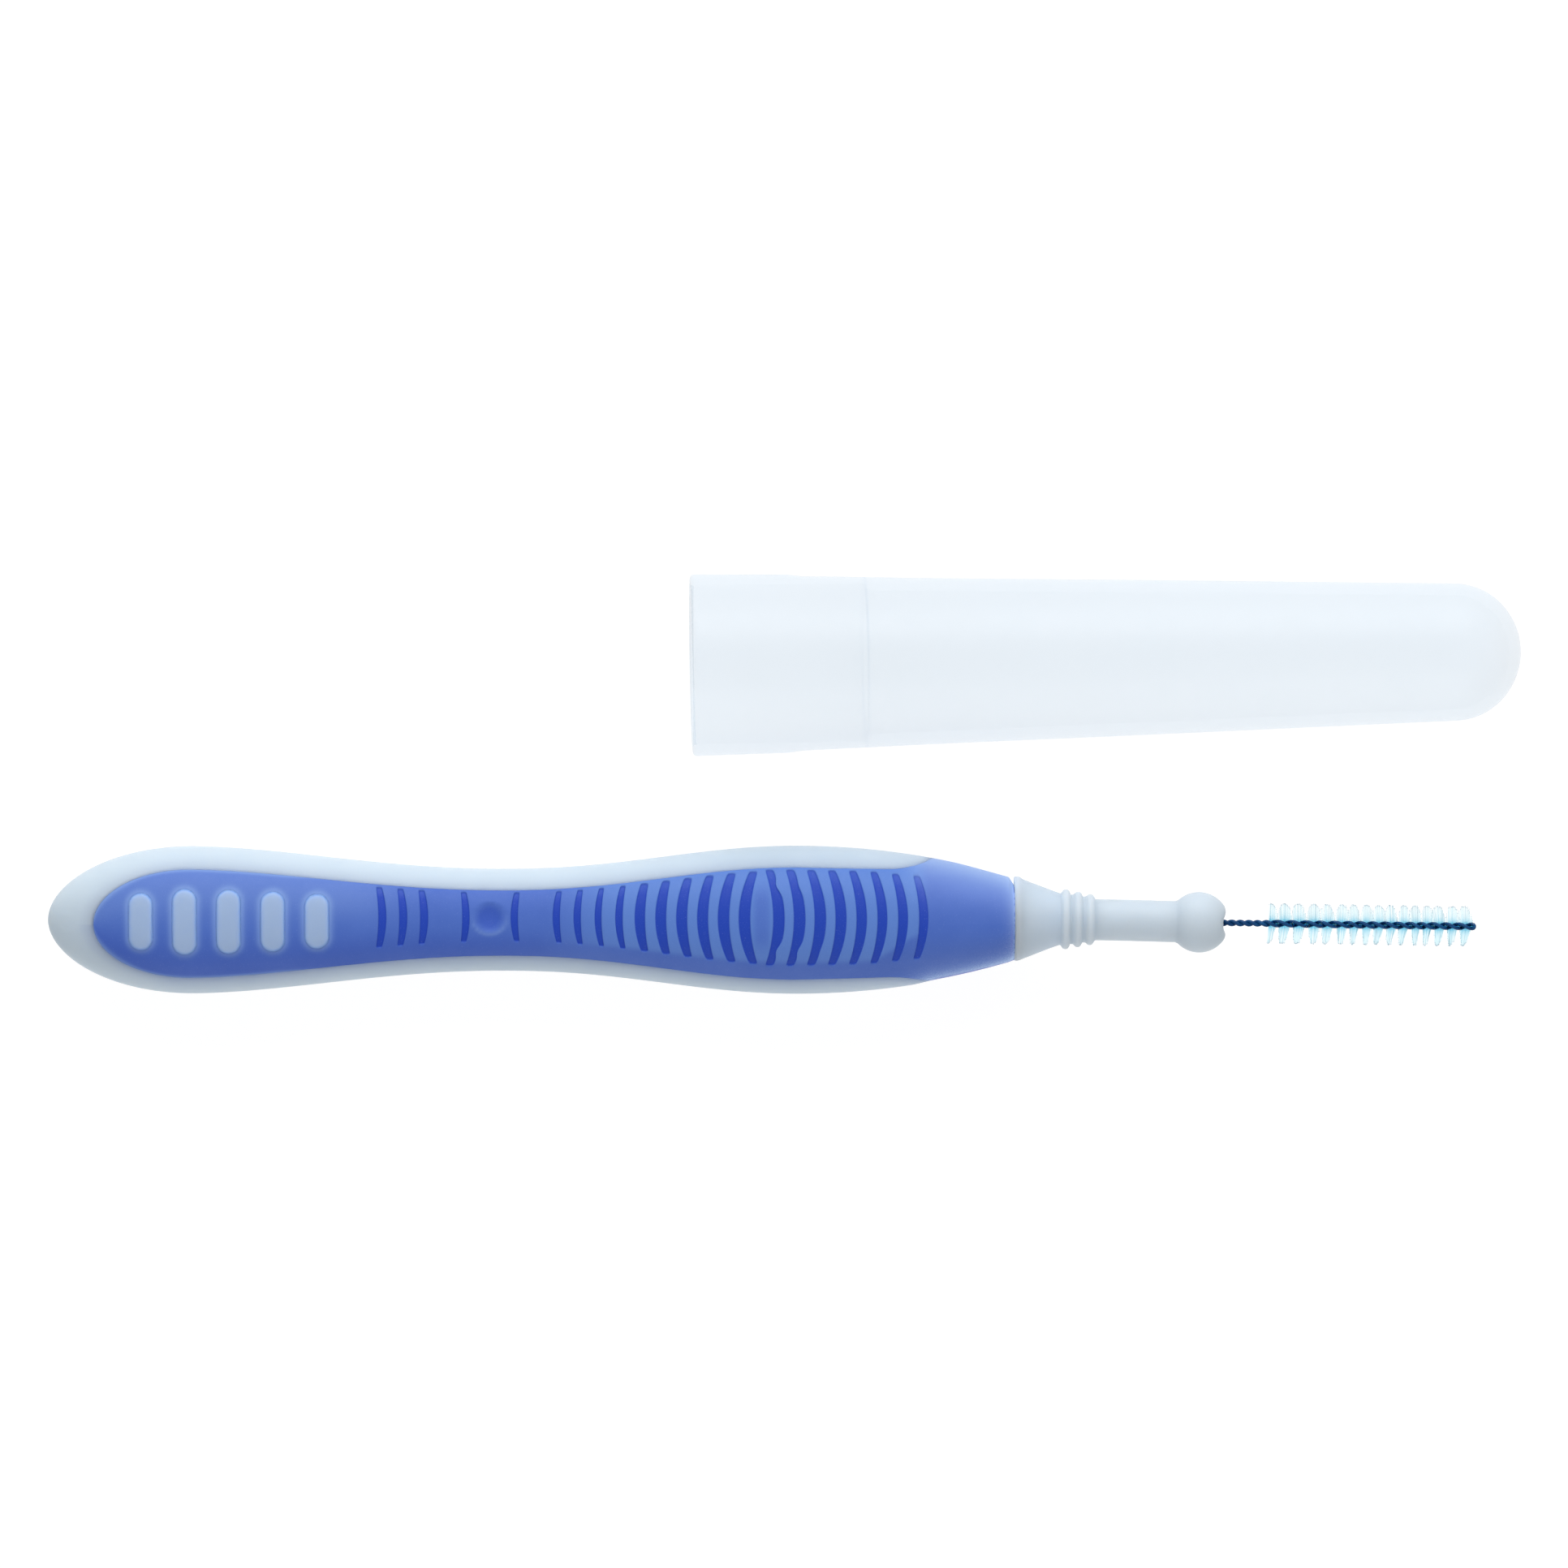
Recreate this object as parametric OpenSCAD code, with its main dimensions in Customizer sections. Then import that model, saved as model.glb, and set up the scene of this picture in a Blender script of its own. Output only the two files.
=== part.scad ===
// Interdental brush: a two-colour moulded handle, a twisted-wire brush and its travel cap.
// Millimetres. The brush lies on its back with its tail at -X and its wire tip at +X.
// The cap lies beside it on +Y, as far forward as it sits when it covers the brush.
// The handle's own measure runs forward from its tail, and "pos" names a distance along it.

/* [Handle] */
// Length from the tail to the front edge of the blue sleeve
handle_l = 59.6; // [56:0.2:64]
// Distance from the tail to the widest place of the rear bulge
tail_bulge_pos = 8.9; // [7:0.1:11]
// Full width of the rear bulge
tail_bulge_w = 9.1; // [8.4:0.1:9.6]
// Distance from the tail to the waist
waist_pos = 28.1; // [26:0.1:31]
// Full width of the waist
waist_w = 6.3; // [5.6:0.1:7.2]
// Distance from the tail to the widest place of the front bulge
front_bulge_pos = 46.1; // [44:0.1:48]
// Full width of the front bulge
front_bulge_w = 9.15; // [8.4:0.05:10]
// Thickness of both bulges, which the brush rests on
bulge_t = 7.1; // [6.4:0.1:8]
// Thickness of the waist
waist_t = 5.2; // [4.6:0.1:6]
// Diameter of the sleeve's front end
sleeve_end_w = 5.2; // [4.8:0.1:5.8]

/* [Grip cover] */
// Thickness of the soft cover over the core
cover_t = 0.8; // [0.6:0.05:1]
// Distance from the tail to the rear end of the pads
pad_pos = 2.7; // [2:0.1:4]
// Full width of a pad on the rear bulge
pad_tail_w = 6.7; // [5.8:0.1:7.4]
// Full width of a pad at the waist
pad_waist_w = 4.05; // [3.6:0.05:4.8]
// Full width of a pad on the front bulge
pad_front_w = 6.95; // [6.2:0.05:7.8]
// Full width of a pad where it starts to flare into the sleeve
pad_flare_w = 6.7; // [6:0.1:7.2]
// Distance from the tail to the start of the flare
flare_pos = 52.1; // [50:0.1:54]
// Length over which the pads flare out to the sides
flare_l = 2.6; // [2:0.1:3.4]
// Chamfer on the front edge of the sleeve
sleeve_chamfer = 0.25; // [0.1:0.05:0.5]

/* [Grip grooves] */
// Depth of the curved grooves
groove_d = 0.32; // [0.15:0.01:0.45]
// Distance from one groove to the next in a group
groove_pitch = 1.28; // [1.1:0.01:1.4]
// Radius of the curve that each groove follows
groove_r = 7.5; // [6:0.1:10]
// Width of a groove as a share of the pad's width there
groove_width_share = 0.105; // [0.07:0.005:0.12]
// Width of a groove's ends as a share of its middle
groove_end_share = 0.7; // [0.5:0.05:1]
// Plain border left between the grooves' ends and the pad's edges
groove_margin = 0.55; // [0.45:0.05:0.8]
// Distance that the grooves and the dimple sit off the centre line
groove_shift = 0.4; // [0:0.05:0.4]
// Grooves in the rear group
rear_groove_n = 3; // [2:1:4]
// Grooves between the waist and the raised lens
middle_groove_n = 10; // [8:1:10]
// Grooves between the raised lens and the sleeve
front_groove_n = 8; // [6:1:8]
// Distance from the dimple to the nearest groove of the groups on both sides of it
group_off = 4.08; // [3.6:0.02:4.4]
// Distance across the raised lens from groove to groove
lens_w = 2.12; // [1.8:0.02:2.4]
// Distance from the tail to the thumb dimple
dimple_pos = 27.3; // [26.5:0.1:28.2]
// Width of the dimple
dimple_w = 2; // [1.4:0.1:2.2]
// Depth of the dimple
dimple_d = 0.3; // [0.1:0.05:0.4]
// Distance from the dimple to the single groove on each side of it
dimple_flank = 1.48; // [1.4:0.02:1.8]

/* [Tail studs] */
// Number of white studs that show through each pad on the rear bulge
stud_n = 5; // [3:1:5]
// Width of a stud
stud_w = 1.5; // [1:0.1:1.7]
// Distance from one stud to the next
stud_pitch = 2.7; // [2.3:0.05:2.8]
// Distance from the tail to the middle of the first stud
stud_pos = 5.95; // [5.6:0.05:6.4]
// Length of a stud as a share of the pad's width there
stud_reach_share = 0.6; // [0.5:0.05:0.75]
// Distance that the studs sit off the centre line
stud_shift = 0.2; // [0:0.05:0.3]

/* [Neck] */
// Length of the neck's cone
cone_l = 2.65; // [2.2:0.05:3]
// Step from the sleeve's end up to the lip of the cone, on the radius
lip_rise = 0.05; // [0:0.01:0.15]
// Diameter of the cone's front end
cone_end_w = 3.2; // [2.9:0.1:3.5]
// Number of ribs in front of the cone
rib_n = 3; // [2:1:3]
// Thickness of a rib
rib_t = 0.5; // [0.4:0.05:0.55]
// Distance from one rib to the next
rib_pitch = 0.75; // [0.7:0.01:0.8]
// Diameter of the rib nearest the cone
rib_w = 3.7; // [3.5:0.05:4]
// Step down in diameter from each rib to the next
rib_drop = 0.27; // [0.1:0.01:0.3]
// Diameter of the neck's tube
tube_w = 2.6; // [2.4:0.1:2.8]
// Length of the tube from the last rib to the bulb
tube_l = 4.65; // [4:0.05:6]
// Diameter of the bulb
bulb_w = 3.75; // [3.4:0.05:4.2]
// Length that the nose of the bulb is cut short
nose_cut = 0.3; // [0.15:0.05:0.4]
// Depth of the hollow in the nose
nose_hollow_d = 0.2; // [0.1:0.05:0.3]
// Diameter of the plug that holds the neck in the core
plug_w = 2; // [1.7:0.1:2.2]
// Length of the plug
plug_l = 5; // [4:0.5:6]
// Flat on the plug that keeps the neck from turning
plug_flat = 0.2; // [0.1:0.05:0.3]
// Angle that the neck leans sideways, away from the cap
neck_lean = 0.85; // [0:0.05:1]

/* [Wire] */
// Diameter of the coated wire
wire_w = 0.23; // [0.2:0.01:0.25]
// Length that the wire reaches into the neck
wire_root_l = 3; // [2:0.5:6]
// Length of bare wire between the nose and the bristles
bare_l = 2.65; // [2.5:0.05:4]
// Length of one full turn of the bare wire
bare_pitch = 1.06; // [0.85:0.01:1.1]
// Length of one full turn of the bristled wire
bristle_pitch = 1.58; // [1.4:0.01:1.8]
// Space between the two wires that pinch the bristles
pinch_t = 0.06; // [0.05:0.005:0.08]

/* [Bristles] */
// Length of the bristled part of the wire
bristle_l = 12.7; // [10:0.1:14]
// Diameter over the bristles
bristle_w = 2.56; // [2.2:0.02:3]
// Thickness of one bristle
strand_t = 0.045; // [0.035:0.005:0.06]
// Bristles on each side of the wire
strand_n = 155; // [152:1:200]

/* [Cap] */
// Length of the cap
cap_l = 51.2; // [50:0.1:54]
// Thickness of the cap's wall
cap_wall = 0.725; // [0.6:0.025:0.9]
// Clearance on the radius between the cap's mouth and the front bulge
bore_clear = 0.275; // [0.2:0.025:0.4]
// Depth of the mouth's straight bore
bore_l = 10.9; // [9:0.1:12]
// Clearance on the radius where the cap's ledge meets the handle
seat_clear = 0.04; // [0.02:0.01:0.1]
// Distance that the cap's mouth sits behind the middle of the front bulge
cap_back = 6.5; // [6:0.1:7]
// Length of the collar at the mouth
collar_l = 6; // [4:0.5:8]
// Taper of the collar on the radius
collar_taper = 0.1; // [0:0.02:0.15]
// Length of the slope from the collar to the tube
collar_step_l = 0.75; // [0.4:0.05:1]
// Step down on the radius from the collar to the tube
collar_step = 0.085; // [0.05:0.005:0.12]
// Diameter of the cap where its round end begins
dome_w = 8.45; // [8:0.05:9]
// Length of the cap's round end
dome_l = 4.1; // [3.5:0.1:5]
// Distance between the axes of the brush and the cap at the cap's mouth
axis_gap = 15.96; // [14:0.1:20]
// Angle that the cap is turned away from the brush
cap_yaw = 1; // [0:0.5:3]

/* [Hidden] */
$fn = 48;

// Clearances and overruns
bond_gap = 0.02;
plug_clear = 0.04;
wire_clear = 0.02;
seat_gap = 0.05;
collar_gap = 0.1;
overrun = 1;

// Shapes of the handle's curves, found by eye
tail_round_share = 0.53;
rear_fall_share = 0.88;
front_rise_share = 1.1;
nose_fall_share = 2.05;

// Facets of the handle's curved skin
skin_sides = 20;
floor_sides = 16;
inner_sides = 12;
dimple_sides = 32;
tail_steps = 7;
rear_steps = 7;
rise_steps = 7;
nose_steps = 6;
groove_steps = 3;
bare_steps = 6;

// The handle's stations, as distances from its tail
function span(a, b, n) = [for (i = [1:n]) a + (b - a) * i / n];
stations = concat(
    [for (i = [1:tail_steps]) tail_bulge_pos * (1 - cos(90 * i / tail_steps))],
    span(tail_bulge_pos, waist_pos, rear_steps),
    span(waist_pos, front_bulge_pos, rise_steps),
    span(front_bulge_pos, handle_l, nose_steps));

// One smooth curve through four widths serves the handle's plan, its side view and its pads
function mix(a, b, s) = a + (b - a) * s;
function ease(s) = (1 - cos(180 * s)) / 2;
function behind_waist(u, tail, waist) =
    mix(tail, waist, ease(pow((u - tail_bulge_pos) / (waist_pos - tail_bulge_pos), rear_fall_share)));
function before_bulge(u, waist, front) =
    mix(waist, front, ease(pow((u - waist_pos) / (front_bulge_pos - waist_pos), front_rise_share)));
function nose_part(u) = min(1, (u - front_bulge_pos) / (handle_l - front_bulge_pos));
function along(u, tail, waist, front, end) =
    u < tail_bulge_pos ? tail * pow(1 - pow(1 - u / tail_bulge_pos, 2), tail_round_share)
    : u < waist_pos ? behind_waist(u, tail, waist)
    : u < front_bulge_pos ? before_bulge(u, waist, front)
    : mix(front, end, pow(nose_part(u), nose_fall_share));
function half_w(u) = along(u, tail_bulge_w, waist_w, front_bulge_w, sleeve_end_w) / 2;
function half_t(u) = along(u, bulge_t, waist_t, bulge_t, sleeve_end_w) / 2;

// Half the width of a pad, first without its flare
function pad_tail(u) = sqrt(1 - pow((tail_bulge_pos - u) / (tail_bulge_pos - pad_pos), 2));
function pad_front(u) = mix(pad_front_w, pad_flare_w, (u - front_bulge_pos) / (flare_pos - front_bulge_pos));
function pad_half(u) = (
    u < tail_bulge_pos ? pad_tail_w * pad_tail(u)
    : u < waist_pos ? behind_waist(u, pad_tail_w, pad_waist_w)
    : u < front_bulge_pos ? before_bulge(u, pad_waist_w, pad_front_w)
    : pad_front(u)) / 2;
flare_end = flare_pos + flare_l;
function flared(s) = mix(pad_flare_w / 2, half_w(flare_end), s * s);
between = [for (i = [1:len(stations) - 1]) (stations[i - 1] + stations[i]) / 2];
pad_edge = concat(
    [for (i = [0:tail_steps - 1])
        let (u = mix(tail_bulge_pos, pad_pos, cos(90 * i / tail_steps))) [u, pad_half(u)]],
    [for (u = between) if (u > tail_bulge_pos && u < flare_pos) [u, pad_half(u)]],
    [for (i = [0:groove_steps]) let (s = i / groove_steps) [flare_pos + flare_l * s, flared(s)]]);

// Places along the handle
middle_groove_pos = dimple_pos + group_off;
lens_pos = middle_groove_pos + (middle_groove_n - 1) * groove_pitch;
inner_from = pad_pos / 2;
core_front = handle_l + collar_gap;
inner_stations = concat([for (u = stations) if (u > inner_from && u < handle_l) u], [core_front]);
dimple_r = (dimple_w * dimple_w / 4 + dimple_d * dimple_d) / (2 * dimple_d);

// Places of the neck, from its seat on the core
lip_w = sleeve_end_w + 2 * lip_rise;
rib_foot_share = 0.75;
first_rib_pos = cone_l + rib_t * rib_foot_share;
last_rib_pos = first_rib_pos + (rib_n - 1) * rib_pitch;
rib_root_l = last_rib_pos - cone_l;
bulb_pos = last_rib_pos + rib_t / 2 + tube_l + bulb_w / 2;
nose_pos = bulb_pos + bulb_w / 2 - nose_cut;
wire_out_pos = nose_pos - nose_hollow_d;
nose_hollow_share = 0.2;
nose_hollow_r = bulb_w * nose_hollow_share;

// Places of the wire, from the neck's seat
bristles_pos = nose_pos + bare_l;
wire_bore_r = wire_w + wire_clear;
loop_r = (wire_w + pinch_t) / 2;
bare_lobe_share = 0.48;
wire_sides = 6;
turn_steps = 8;
loop_steps = 5;
bristle_turns = bristle_l / bristle_pitch;
bristle_steps = round(bristle_turns * turn_steps);
first_angle = 40;
stagger_share = 0.25;

// Places of the cap, from its mouth
bore_r = front_bulge_w / 2 + bore_clear;
mouth_r = bore_r + cap_wall;
collar_end_r = mouth_r - collar_taper;
tube_r = collar_end_r - collar_step;
dome_pos = cap_l - dome_l;
ledge_r = half_w(front_bulge_pos - cap_back + bore_l) + seat_clear;
inner_dome_r = dome_w / 2 - cap_wall;
inner_dome_l = dome_l - cap_wall;
dome_steps = 12;

// The cap lies on its collar and its round end, so its nose points a little down
cap_pitch = atan((collar_end_r - dome_w / 2) / (dome_pos - collar_l));
cap_lift = collar_l * sin(cap_pitch) + collar_end_r * cos(cap_pitch);

// The origin is under the middle of everything
cap_mouth_pos = front_bulge_pos - cap_back;
total_l = cap_mouth_pos + cap_l * cos(cap_pitch) * cos(cap_yaw);
tail_x = -total_l / 2;
cap_side = collar_l * sin(cap_yaw) + collar_end_r * cos(cap_yaw);
total_w = front_bulge_w / 2 + axis_gap + cap_side;
brush_y = (front_bulge_w - total_w) / 2;
axis_z = bulge_t / 2;

module at_tail() {
    translate([tail_x, brush_y, axis_z]) children();
}

// Lays a shape that is drawn upwards on the neck's leaning axis, seen from the tail
module at_seat() {
    translate([core_front + seat_gap, 0, 0]) rotate([0, 90, -neck_lean]) children();
}

// Puts it there in the whole object, with its foot on the neck's seat
module at_neck() {
    at_tail() at_seat() children();
}

// Puts a shape that is drawn upwards in the lying cap's place, with its foot at the mouth
module at_cap() {
    translate([tail_x + cap_mouth_pos, brush_y + axis_gap, cap_lift])
        rotate([0, 90 + cap_pitch, cap_yaw]) children();
}

// The handle's skin, drawn in by a depth, from a point through the given stations.
// Each ring is turned by half a side against the one before, so that no two facets lie level.
module skin(depth, from, us, n) {
    last = len(us) - 1;
    rings = [for (i = [0:last]) for (k = [0:n - 1]) let (u = us[i], a = 360 * (k + i / 2) / n)
        [u, (half_w(u) - depth) * cos(a), (half_t(u) - depth) * sin(a)]];
    ends = [[from, 0, 0], [us[last], 0, 0]];
    sides = [for (i = [0:last - 1]) for (k = [0:n - 1]) let (j = (k + 1) % n)
        each [[i * n + k, (i + 1) * n + k, i * n + j], [i * n + j, (i + 1) * n + k, (i + 1) * n + j]]];
    caps = [for (k = [0:n - 1]) let (j = (k + 1) % n)
        each [[len(rings), k, j], [len(rings) + 1, last * n + j, last * n + k]]];
    polyhedron(points = concat(rings, ends), faces = concat(sides, caps));
}

// The space of both pads and the sleeve, seen from above
module cover_space(inset, front) {
    side = front_bulge_w;
    upper = concat(pad_edge, [[flare_end, side], [front, side]]);
    lower = [for (i = [len(upper) - 1:-1:1]) [upper[i][0], -upper[i][1]]];
    translate([0, 0, -side]) linear_extrude(2 * side) offset(delta = -inset) polygon(concat(upper, lower));
}

// One curved groove seen from above, bowed forward for 1 and backward for -1
module groove(u, bow) {
    half = pad_half(u) - groove_margin;
    w = 2 * pad_half(u) * groove_width_share;
    ts = [for (i = [0:groove_steps]) 2 * i / groove_steps - 1];
    mid = [for (t = ts) u - bow * (groove_r - sqrt(groove_r * groove_r - t * t * half * half))];
    wide = [for (t = ts) w / 2 * mix(1, groove_end_share, t * t)];
    rear = [for (i = [0:groove_steps]) [mid[i] - wide[i], groove_shift + ts[i] * half]];
    fore = [for (i = [groove_steps:-1:0]) [mid[i] + wide[i], groove_shift + ts[i] * half]];
    linear_extrude(bulge_t) polygon(concat(rear, fore));
}

module grooves() {
    for (i = [0:rear_groove_n - 1]) groove(dimple_pos - group_off - i * groove_pitch, 1);
    for (i = [0:middle_groove_n - 1]) groove(middle_groove_pos + i * groove_pitch, -1);
    for (i = [0:front_groove_n - 1]) groove(lens_pos + lens_w + i * groove_pitch, 1);
    groove(dimple_pos - dimple_flank, 1);
    groove(dimple_pos + dimple_flank, -1);
}

module dimple() {
    lift = half_t(dimple_pos) + dimple_r - dimple_d;
    translate([dimple_pos, groove_shift, lift]) sphere(dimple_r, $fn = dimple_sides);
}

// Upright posts with round ends, which carry the studs and cut their windows
module stud_posts(grow) {
    for (i = [0:stud_n - 1]) {
        u = stud_pos + i * stud_pitch;
        reach = pad_half(u) * stud_reach_share - stud_w / 2;
        translate([u, stud_shift, 0]) hull() for (y = [-reach, reach])
            translate([0, y, 0]) cylinder(h = bulge_t, d = stud_w + 2 * grow, $fn = 12);
    }
}

// Repeats a shape of the upper face on the lower one
module both_faces() {
    children();
    mirror([0, 0, 1]) children();
}

// White core: it shows as a strip along both sides, as the tail and as the studs
module handle_core() {
    color("aliceblue") at_tail() difference() {
        union() {
            skin(cover_t, inner_from, inner_stations, inner_sides);
            difference() {
                skin(0, 0, stations, skin_sides);
                cover_space(0, core_front);
            }
            intersection() {
                both_faces() stud_posts(0);
                skin(0, 0, stations, skin_sides);
            }
        }
        at_seat() translate([0, 0, -plug_l - seat_gap]) plug(plug_l + overrun, plug_w / 2 + plug_clear);
    }
}

// Soft blue cover: an upper and a lower pad that run into one sleeve
module grip_cover() {
    color("royalblue") at_tail() difference() {
        intersection() {
            skin(0, 0, stations, skin_sides);
            cover_space(bond_gap, handle_l + bond_gap);
        }
        skin(cover_t - bond_gap, inner_from, inner_stations, inner_sides);
        both_faces() {
            stud_posts(bond_gap);
            dimple();
            difference() {
                grooves();
                skin(groove_d, inner_from, inner_stations, floor_sides);
            }
        }
        translate([handle_l, 0, 0]) rotate([0, -90, 0]) sleeve_edge();
    }
}

// What the chamfer takes off the sleeve's front edge
module sleeve_edge() {
    r = sleeve_end_w / 2;
    difference() {
        translate([0, 0, -overrun]) cylinder(h = overrun + sleeve_chamfer, r = r + overrun);
        cylinder(h = sleeve_chamfer, r1 = r - sleeve_chamfer, r2 = r + sleeve_chamfer);
    }
}

module plug(l, r) {
    difference() {
        cylinder(h = l, r = r);
        translate([r - plug_flat, -r, -overrun]) cube([r, 2 * r, l + 2 * overrun]);
    }
}

// White neck: plug, cone, ribs, tube and bulb in one piece
module neck() {
    color("aliceblue") at_neck() difference() {
        union() {
            translate([0, 0, -plug_l]) plug(plug_l + cone_l / 2, plug_w / 2);
            cylinder(h = cone_l, d1 = lip_w, d2 = cone_end_w);
            translate([0, 0, cone_l]) cylinder(h = rib_root_l, d1 = cone_end_w, d2 = tube_w);
            for (i = [0:rib_n - 1]) translate([0, 0, first_rib_pos + i * rib_pitch])
                rotate_extrude() translate([(rib_w - i * rib_drop - rib_t) / 2, 0]) circle(d = rib_t);
            translate([0, 0, last_rib_pos]) cylinder(h = bulb_pos - last_rib_pos, d = tube_w);
            translate([0, 0, bulb_pos]) sphere(d = bulb_w);
        }
        translate([0, 0, nose_pos]) cylinder(h = bulb_w, d = bulb_w);
        translate([0, 0, wire_out_pos])
            cylinder(h = nose_hollow_d, r1 = nose_hollow_r / 2, r2 = nose_hollow_r);
        translate([0, 0, nose_pos - wire_root_l]) cylinder(h = wire_root_l + overrun, r = wire_bore_r);
    }
}

// Bare twisted pair between the neck and the bristles, held in the neck by its rear end
module wire_root() {
    length = wire_root_l + bare_l - seat_gap;
    turns = length / bare_pitch;
    lobe = wire_w * bare_lobe_share;
    color("midnightblue") at_neck() translate([0, 0, nose_pos - wire_root_l])
        linear_extrude(length, twist = -360 * turns, slices = round(turns * bare_steps), $fn = wire_sides)
            for (side = [-1, 1]) translate([side * lobe, 0]) circle(d = wire_w);
}

// A point at a distance along the bristled wire and from its axis, at an angle round it
function spoke(x, r, a) = [r * cos(a), r * sin(a), x];
function unit(v) = v / norm(v);
function turned(x) = first_angle + 360 * x / bristle_pitch;

// The folded wire's centre line: out along one side, round the loop and back along the other
outward = [for (i = [0:bristle_steps]) bristle_l * i / bristle_steps];
homeward = [for (i = [bristle_steps:-1:0]) outward[i]];
bend = [for (i = [1:loop_steps - 1]) 180 * i / loop_steps];
fold_line = concat(
    [for (x = outward) spoke(x, loop_r, turned(x))],
    [for (b = bend) spoke(bristle_l + loop_r * sin(b), loop_r * cos(b), turned(bristle_l))],
    [for (x = homeward) spoke(x, -loop_r, turned(x))]);
fold_angles = concat([for (x = outward) turned(x)], [for (b = bend) turned(bristle_l)],
    [for (x = homeward) turned(x)]);

// A round tube swept along the folded line, closed at both ends
module swept_wire() {
    last = len(fold_line) - 1;
    n = wire_sides;
    heads = [for (i = [0:last]) unit(fold_line[min(last, i + 1)] - fold_line[max(0, i - 1)])];
    across = [for (i = [0:last])
        let (b = spoke(0, 1, fold_angles[i] + 90)) unit(b - (b * heads[i]) * heads[i])];
    rings = [for (i = [0:last]) let (up = cross(heads[i], across[i])) for (k = [0:n - 1])
        fold_line[i] + wire_w / 2 * (cos(360 * k / n) * across[i] + sin(360 * k / n) * up)];
    ends = [fold_line[0], fold_line[last]];
    sides = [for (i = [0:last - 1]) for (k = [0:n - 1]) let (j = (k + 1) % n)
        each [[i * n + k, (i + 1) * n + j, i * n + j], [i * n + k, (i + 1) * n + k, (i + 1) * n + j]]];
    caps = [for (k = [0:n - 1]) let (j = (k + 1) % n)
        each [[len(rings), k, j], [len(rings) + 1, last * n + j, last * n + k]]];
    polyhedron(points = concat(rings, ends), faces = concat(sides, caps));
}

// Bristled stretch of the same wire, with its folded tip
module wire_head() {
    color("midnightblue") at_neck() translate([0, 0, bristles_pos]) swept_wire();
}

// Bristles in two rows that wind round the axis, each fused to the ribbon that the wires pinch
module bristles() {
    step = bristle_l / strand_n;
    color("lightcyan") at_neck() translate([0, 0, bristles_pos]) resize([bristle_w, bristle_w, 0]) {
        ribbon();
        for (i = [1:strand_n - 1]) {
            strand((i - stagger_share) * step, 1);
            strand((i + stagger_share) * step, -1);
        }
    }
}

// What the two wires pinch: the middles of the bristles, which wind with them
module ribbon() {
    linear_extrude(bristle_l, twist = -360 * bristle_turns, slices = bristle_steps, $fn = 4)
        rotate(first_angle) square([pinch_t, 2 * loop_r + wire_w / 2], center = true);
}

module strand(x, side) {
    translate([0, 0, x]) rotate([0, 90, turned(x) + 90 * side])
        cylinder(h = bristle_w / 2, d = strand_t, $fn = 3);
}

// Half outline of a round end, as an arc from the side to the axis
function dome(r, l, at) = [for (i = [0:dome_steps])
    let (a = 90 * i / dome_steps) [r * cos(a), at + l * sin(a)]];

// Travel cap: a straight bore at the mouth, a ledge that stops on the handle and a long taper
module cap() {
    outside = concat([[0, 0], [mouth_r, 0], [collar_end_r, collar_l], [tube_r, collar_l + collar_step_l]],
        dome(dome_w / 2, dome_l, dome_pos));
    inside = concat([[0, bore_l - overrun], [ledge_r, bore_l - overrun], [ledge_r, bore_l]],
        dome(inner_dome_r, inner_dome_l, dome_pos));
    color("azure", 0.5) at_cap() difference() {
        rotate_extrude() polygon(outside);
        rotate_extrude() polygon(inside);
        translate([0, 0, -overrun]) cylinder(h = bore_l + overrun, r = bore_r);
    }
}

handle_core();
grip_cover();
neck();
wire_root();
wire_head();
bristles();
cap();
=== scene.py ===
"""The looks of an interdental brush and its cap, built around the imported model.

Lengths are in millimetres up to add_mesh(), which turns them into metres. The handle's own measure u
runs forward from its tail, and phi is the angle round its axis, from the top and towards +Y.
"""

import math

import bmesh
import bpy
import numpy as np
from mathutils import Matrix, Vector

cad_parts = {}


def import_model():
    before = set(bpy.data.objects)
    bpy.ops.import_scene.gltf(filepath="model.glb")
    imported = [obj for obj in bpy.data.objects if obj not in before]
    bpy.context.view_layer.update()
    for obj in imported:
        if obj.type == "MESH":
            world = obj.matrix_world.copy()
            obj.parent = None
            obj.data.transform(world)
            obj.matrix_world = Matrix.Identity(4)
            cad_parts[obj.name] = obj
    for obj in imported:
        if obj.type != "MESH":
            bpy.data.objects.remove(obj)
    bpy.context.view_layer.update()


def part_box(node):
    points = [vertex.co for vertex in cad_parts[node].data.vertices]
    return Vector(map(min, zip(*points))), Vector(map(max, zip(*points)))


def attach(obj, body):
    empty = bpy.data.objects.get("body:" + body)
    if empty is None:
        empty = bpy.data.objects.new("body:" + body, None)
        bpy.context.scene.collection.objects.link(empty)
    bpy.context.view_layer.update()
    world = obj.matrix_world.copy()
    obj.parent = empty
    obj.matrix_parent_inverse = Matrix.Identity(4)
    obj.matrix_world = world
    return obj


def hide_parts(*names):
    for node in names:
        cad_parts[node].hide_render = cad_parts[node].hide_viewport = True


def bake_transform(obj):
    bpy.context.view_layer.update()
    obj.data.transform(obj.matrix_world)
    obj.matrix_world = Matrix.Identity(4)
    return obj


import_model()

MM = 0.001
TINY = 0.001
SEED = 7

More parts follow.
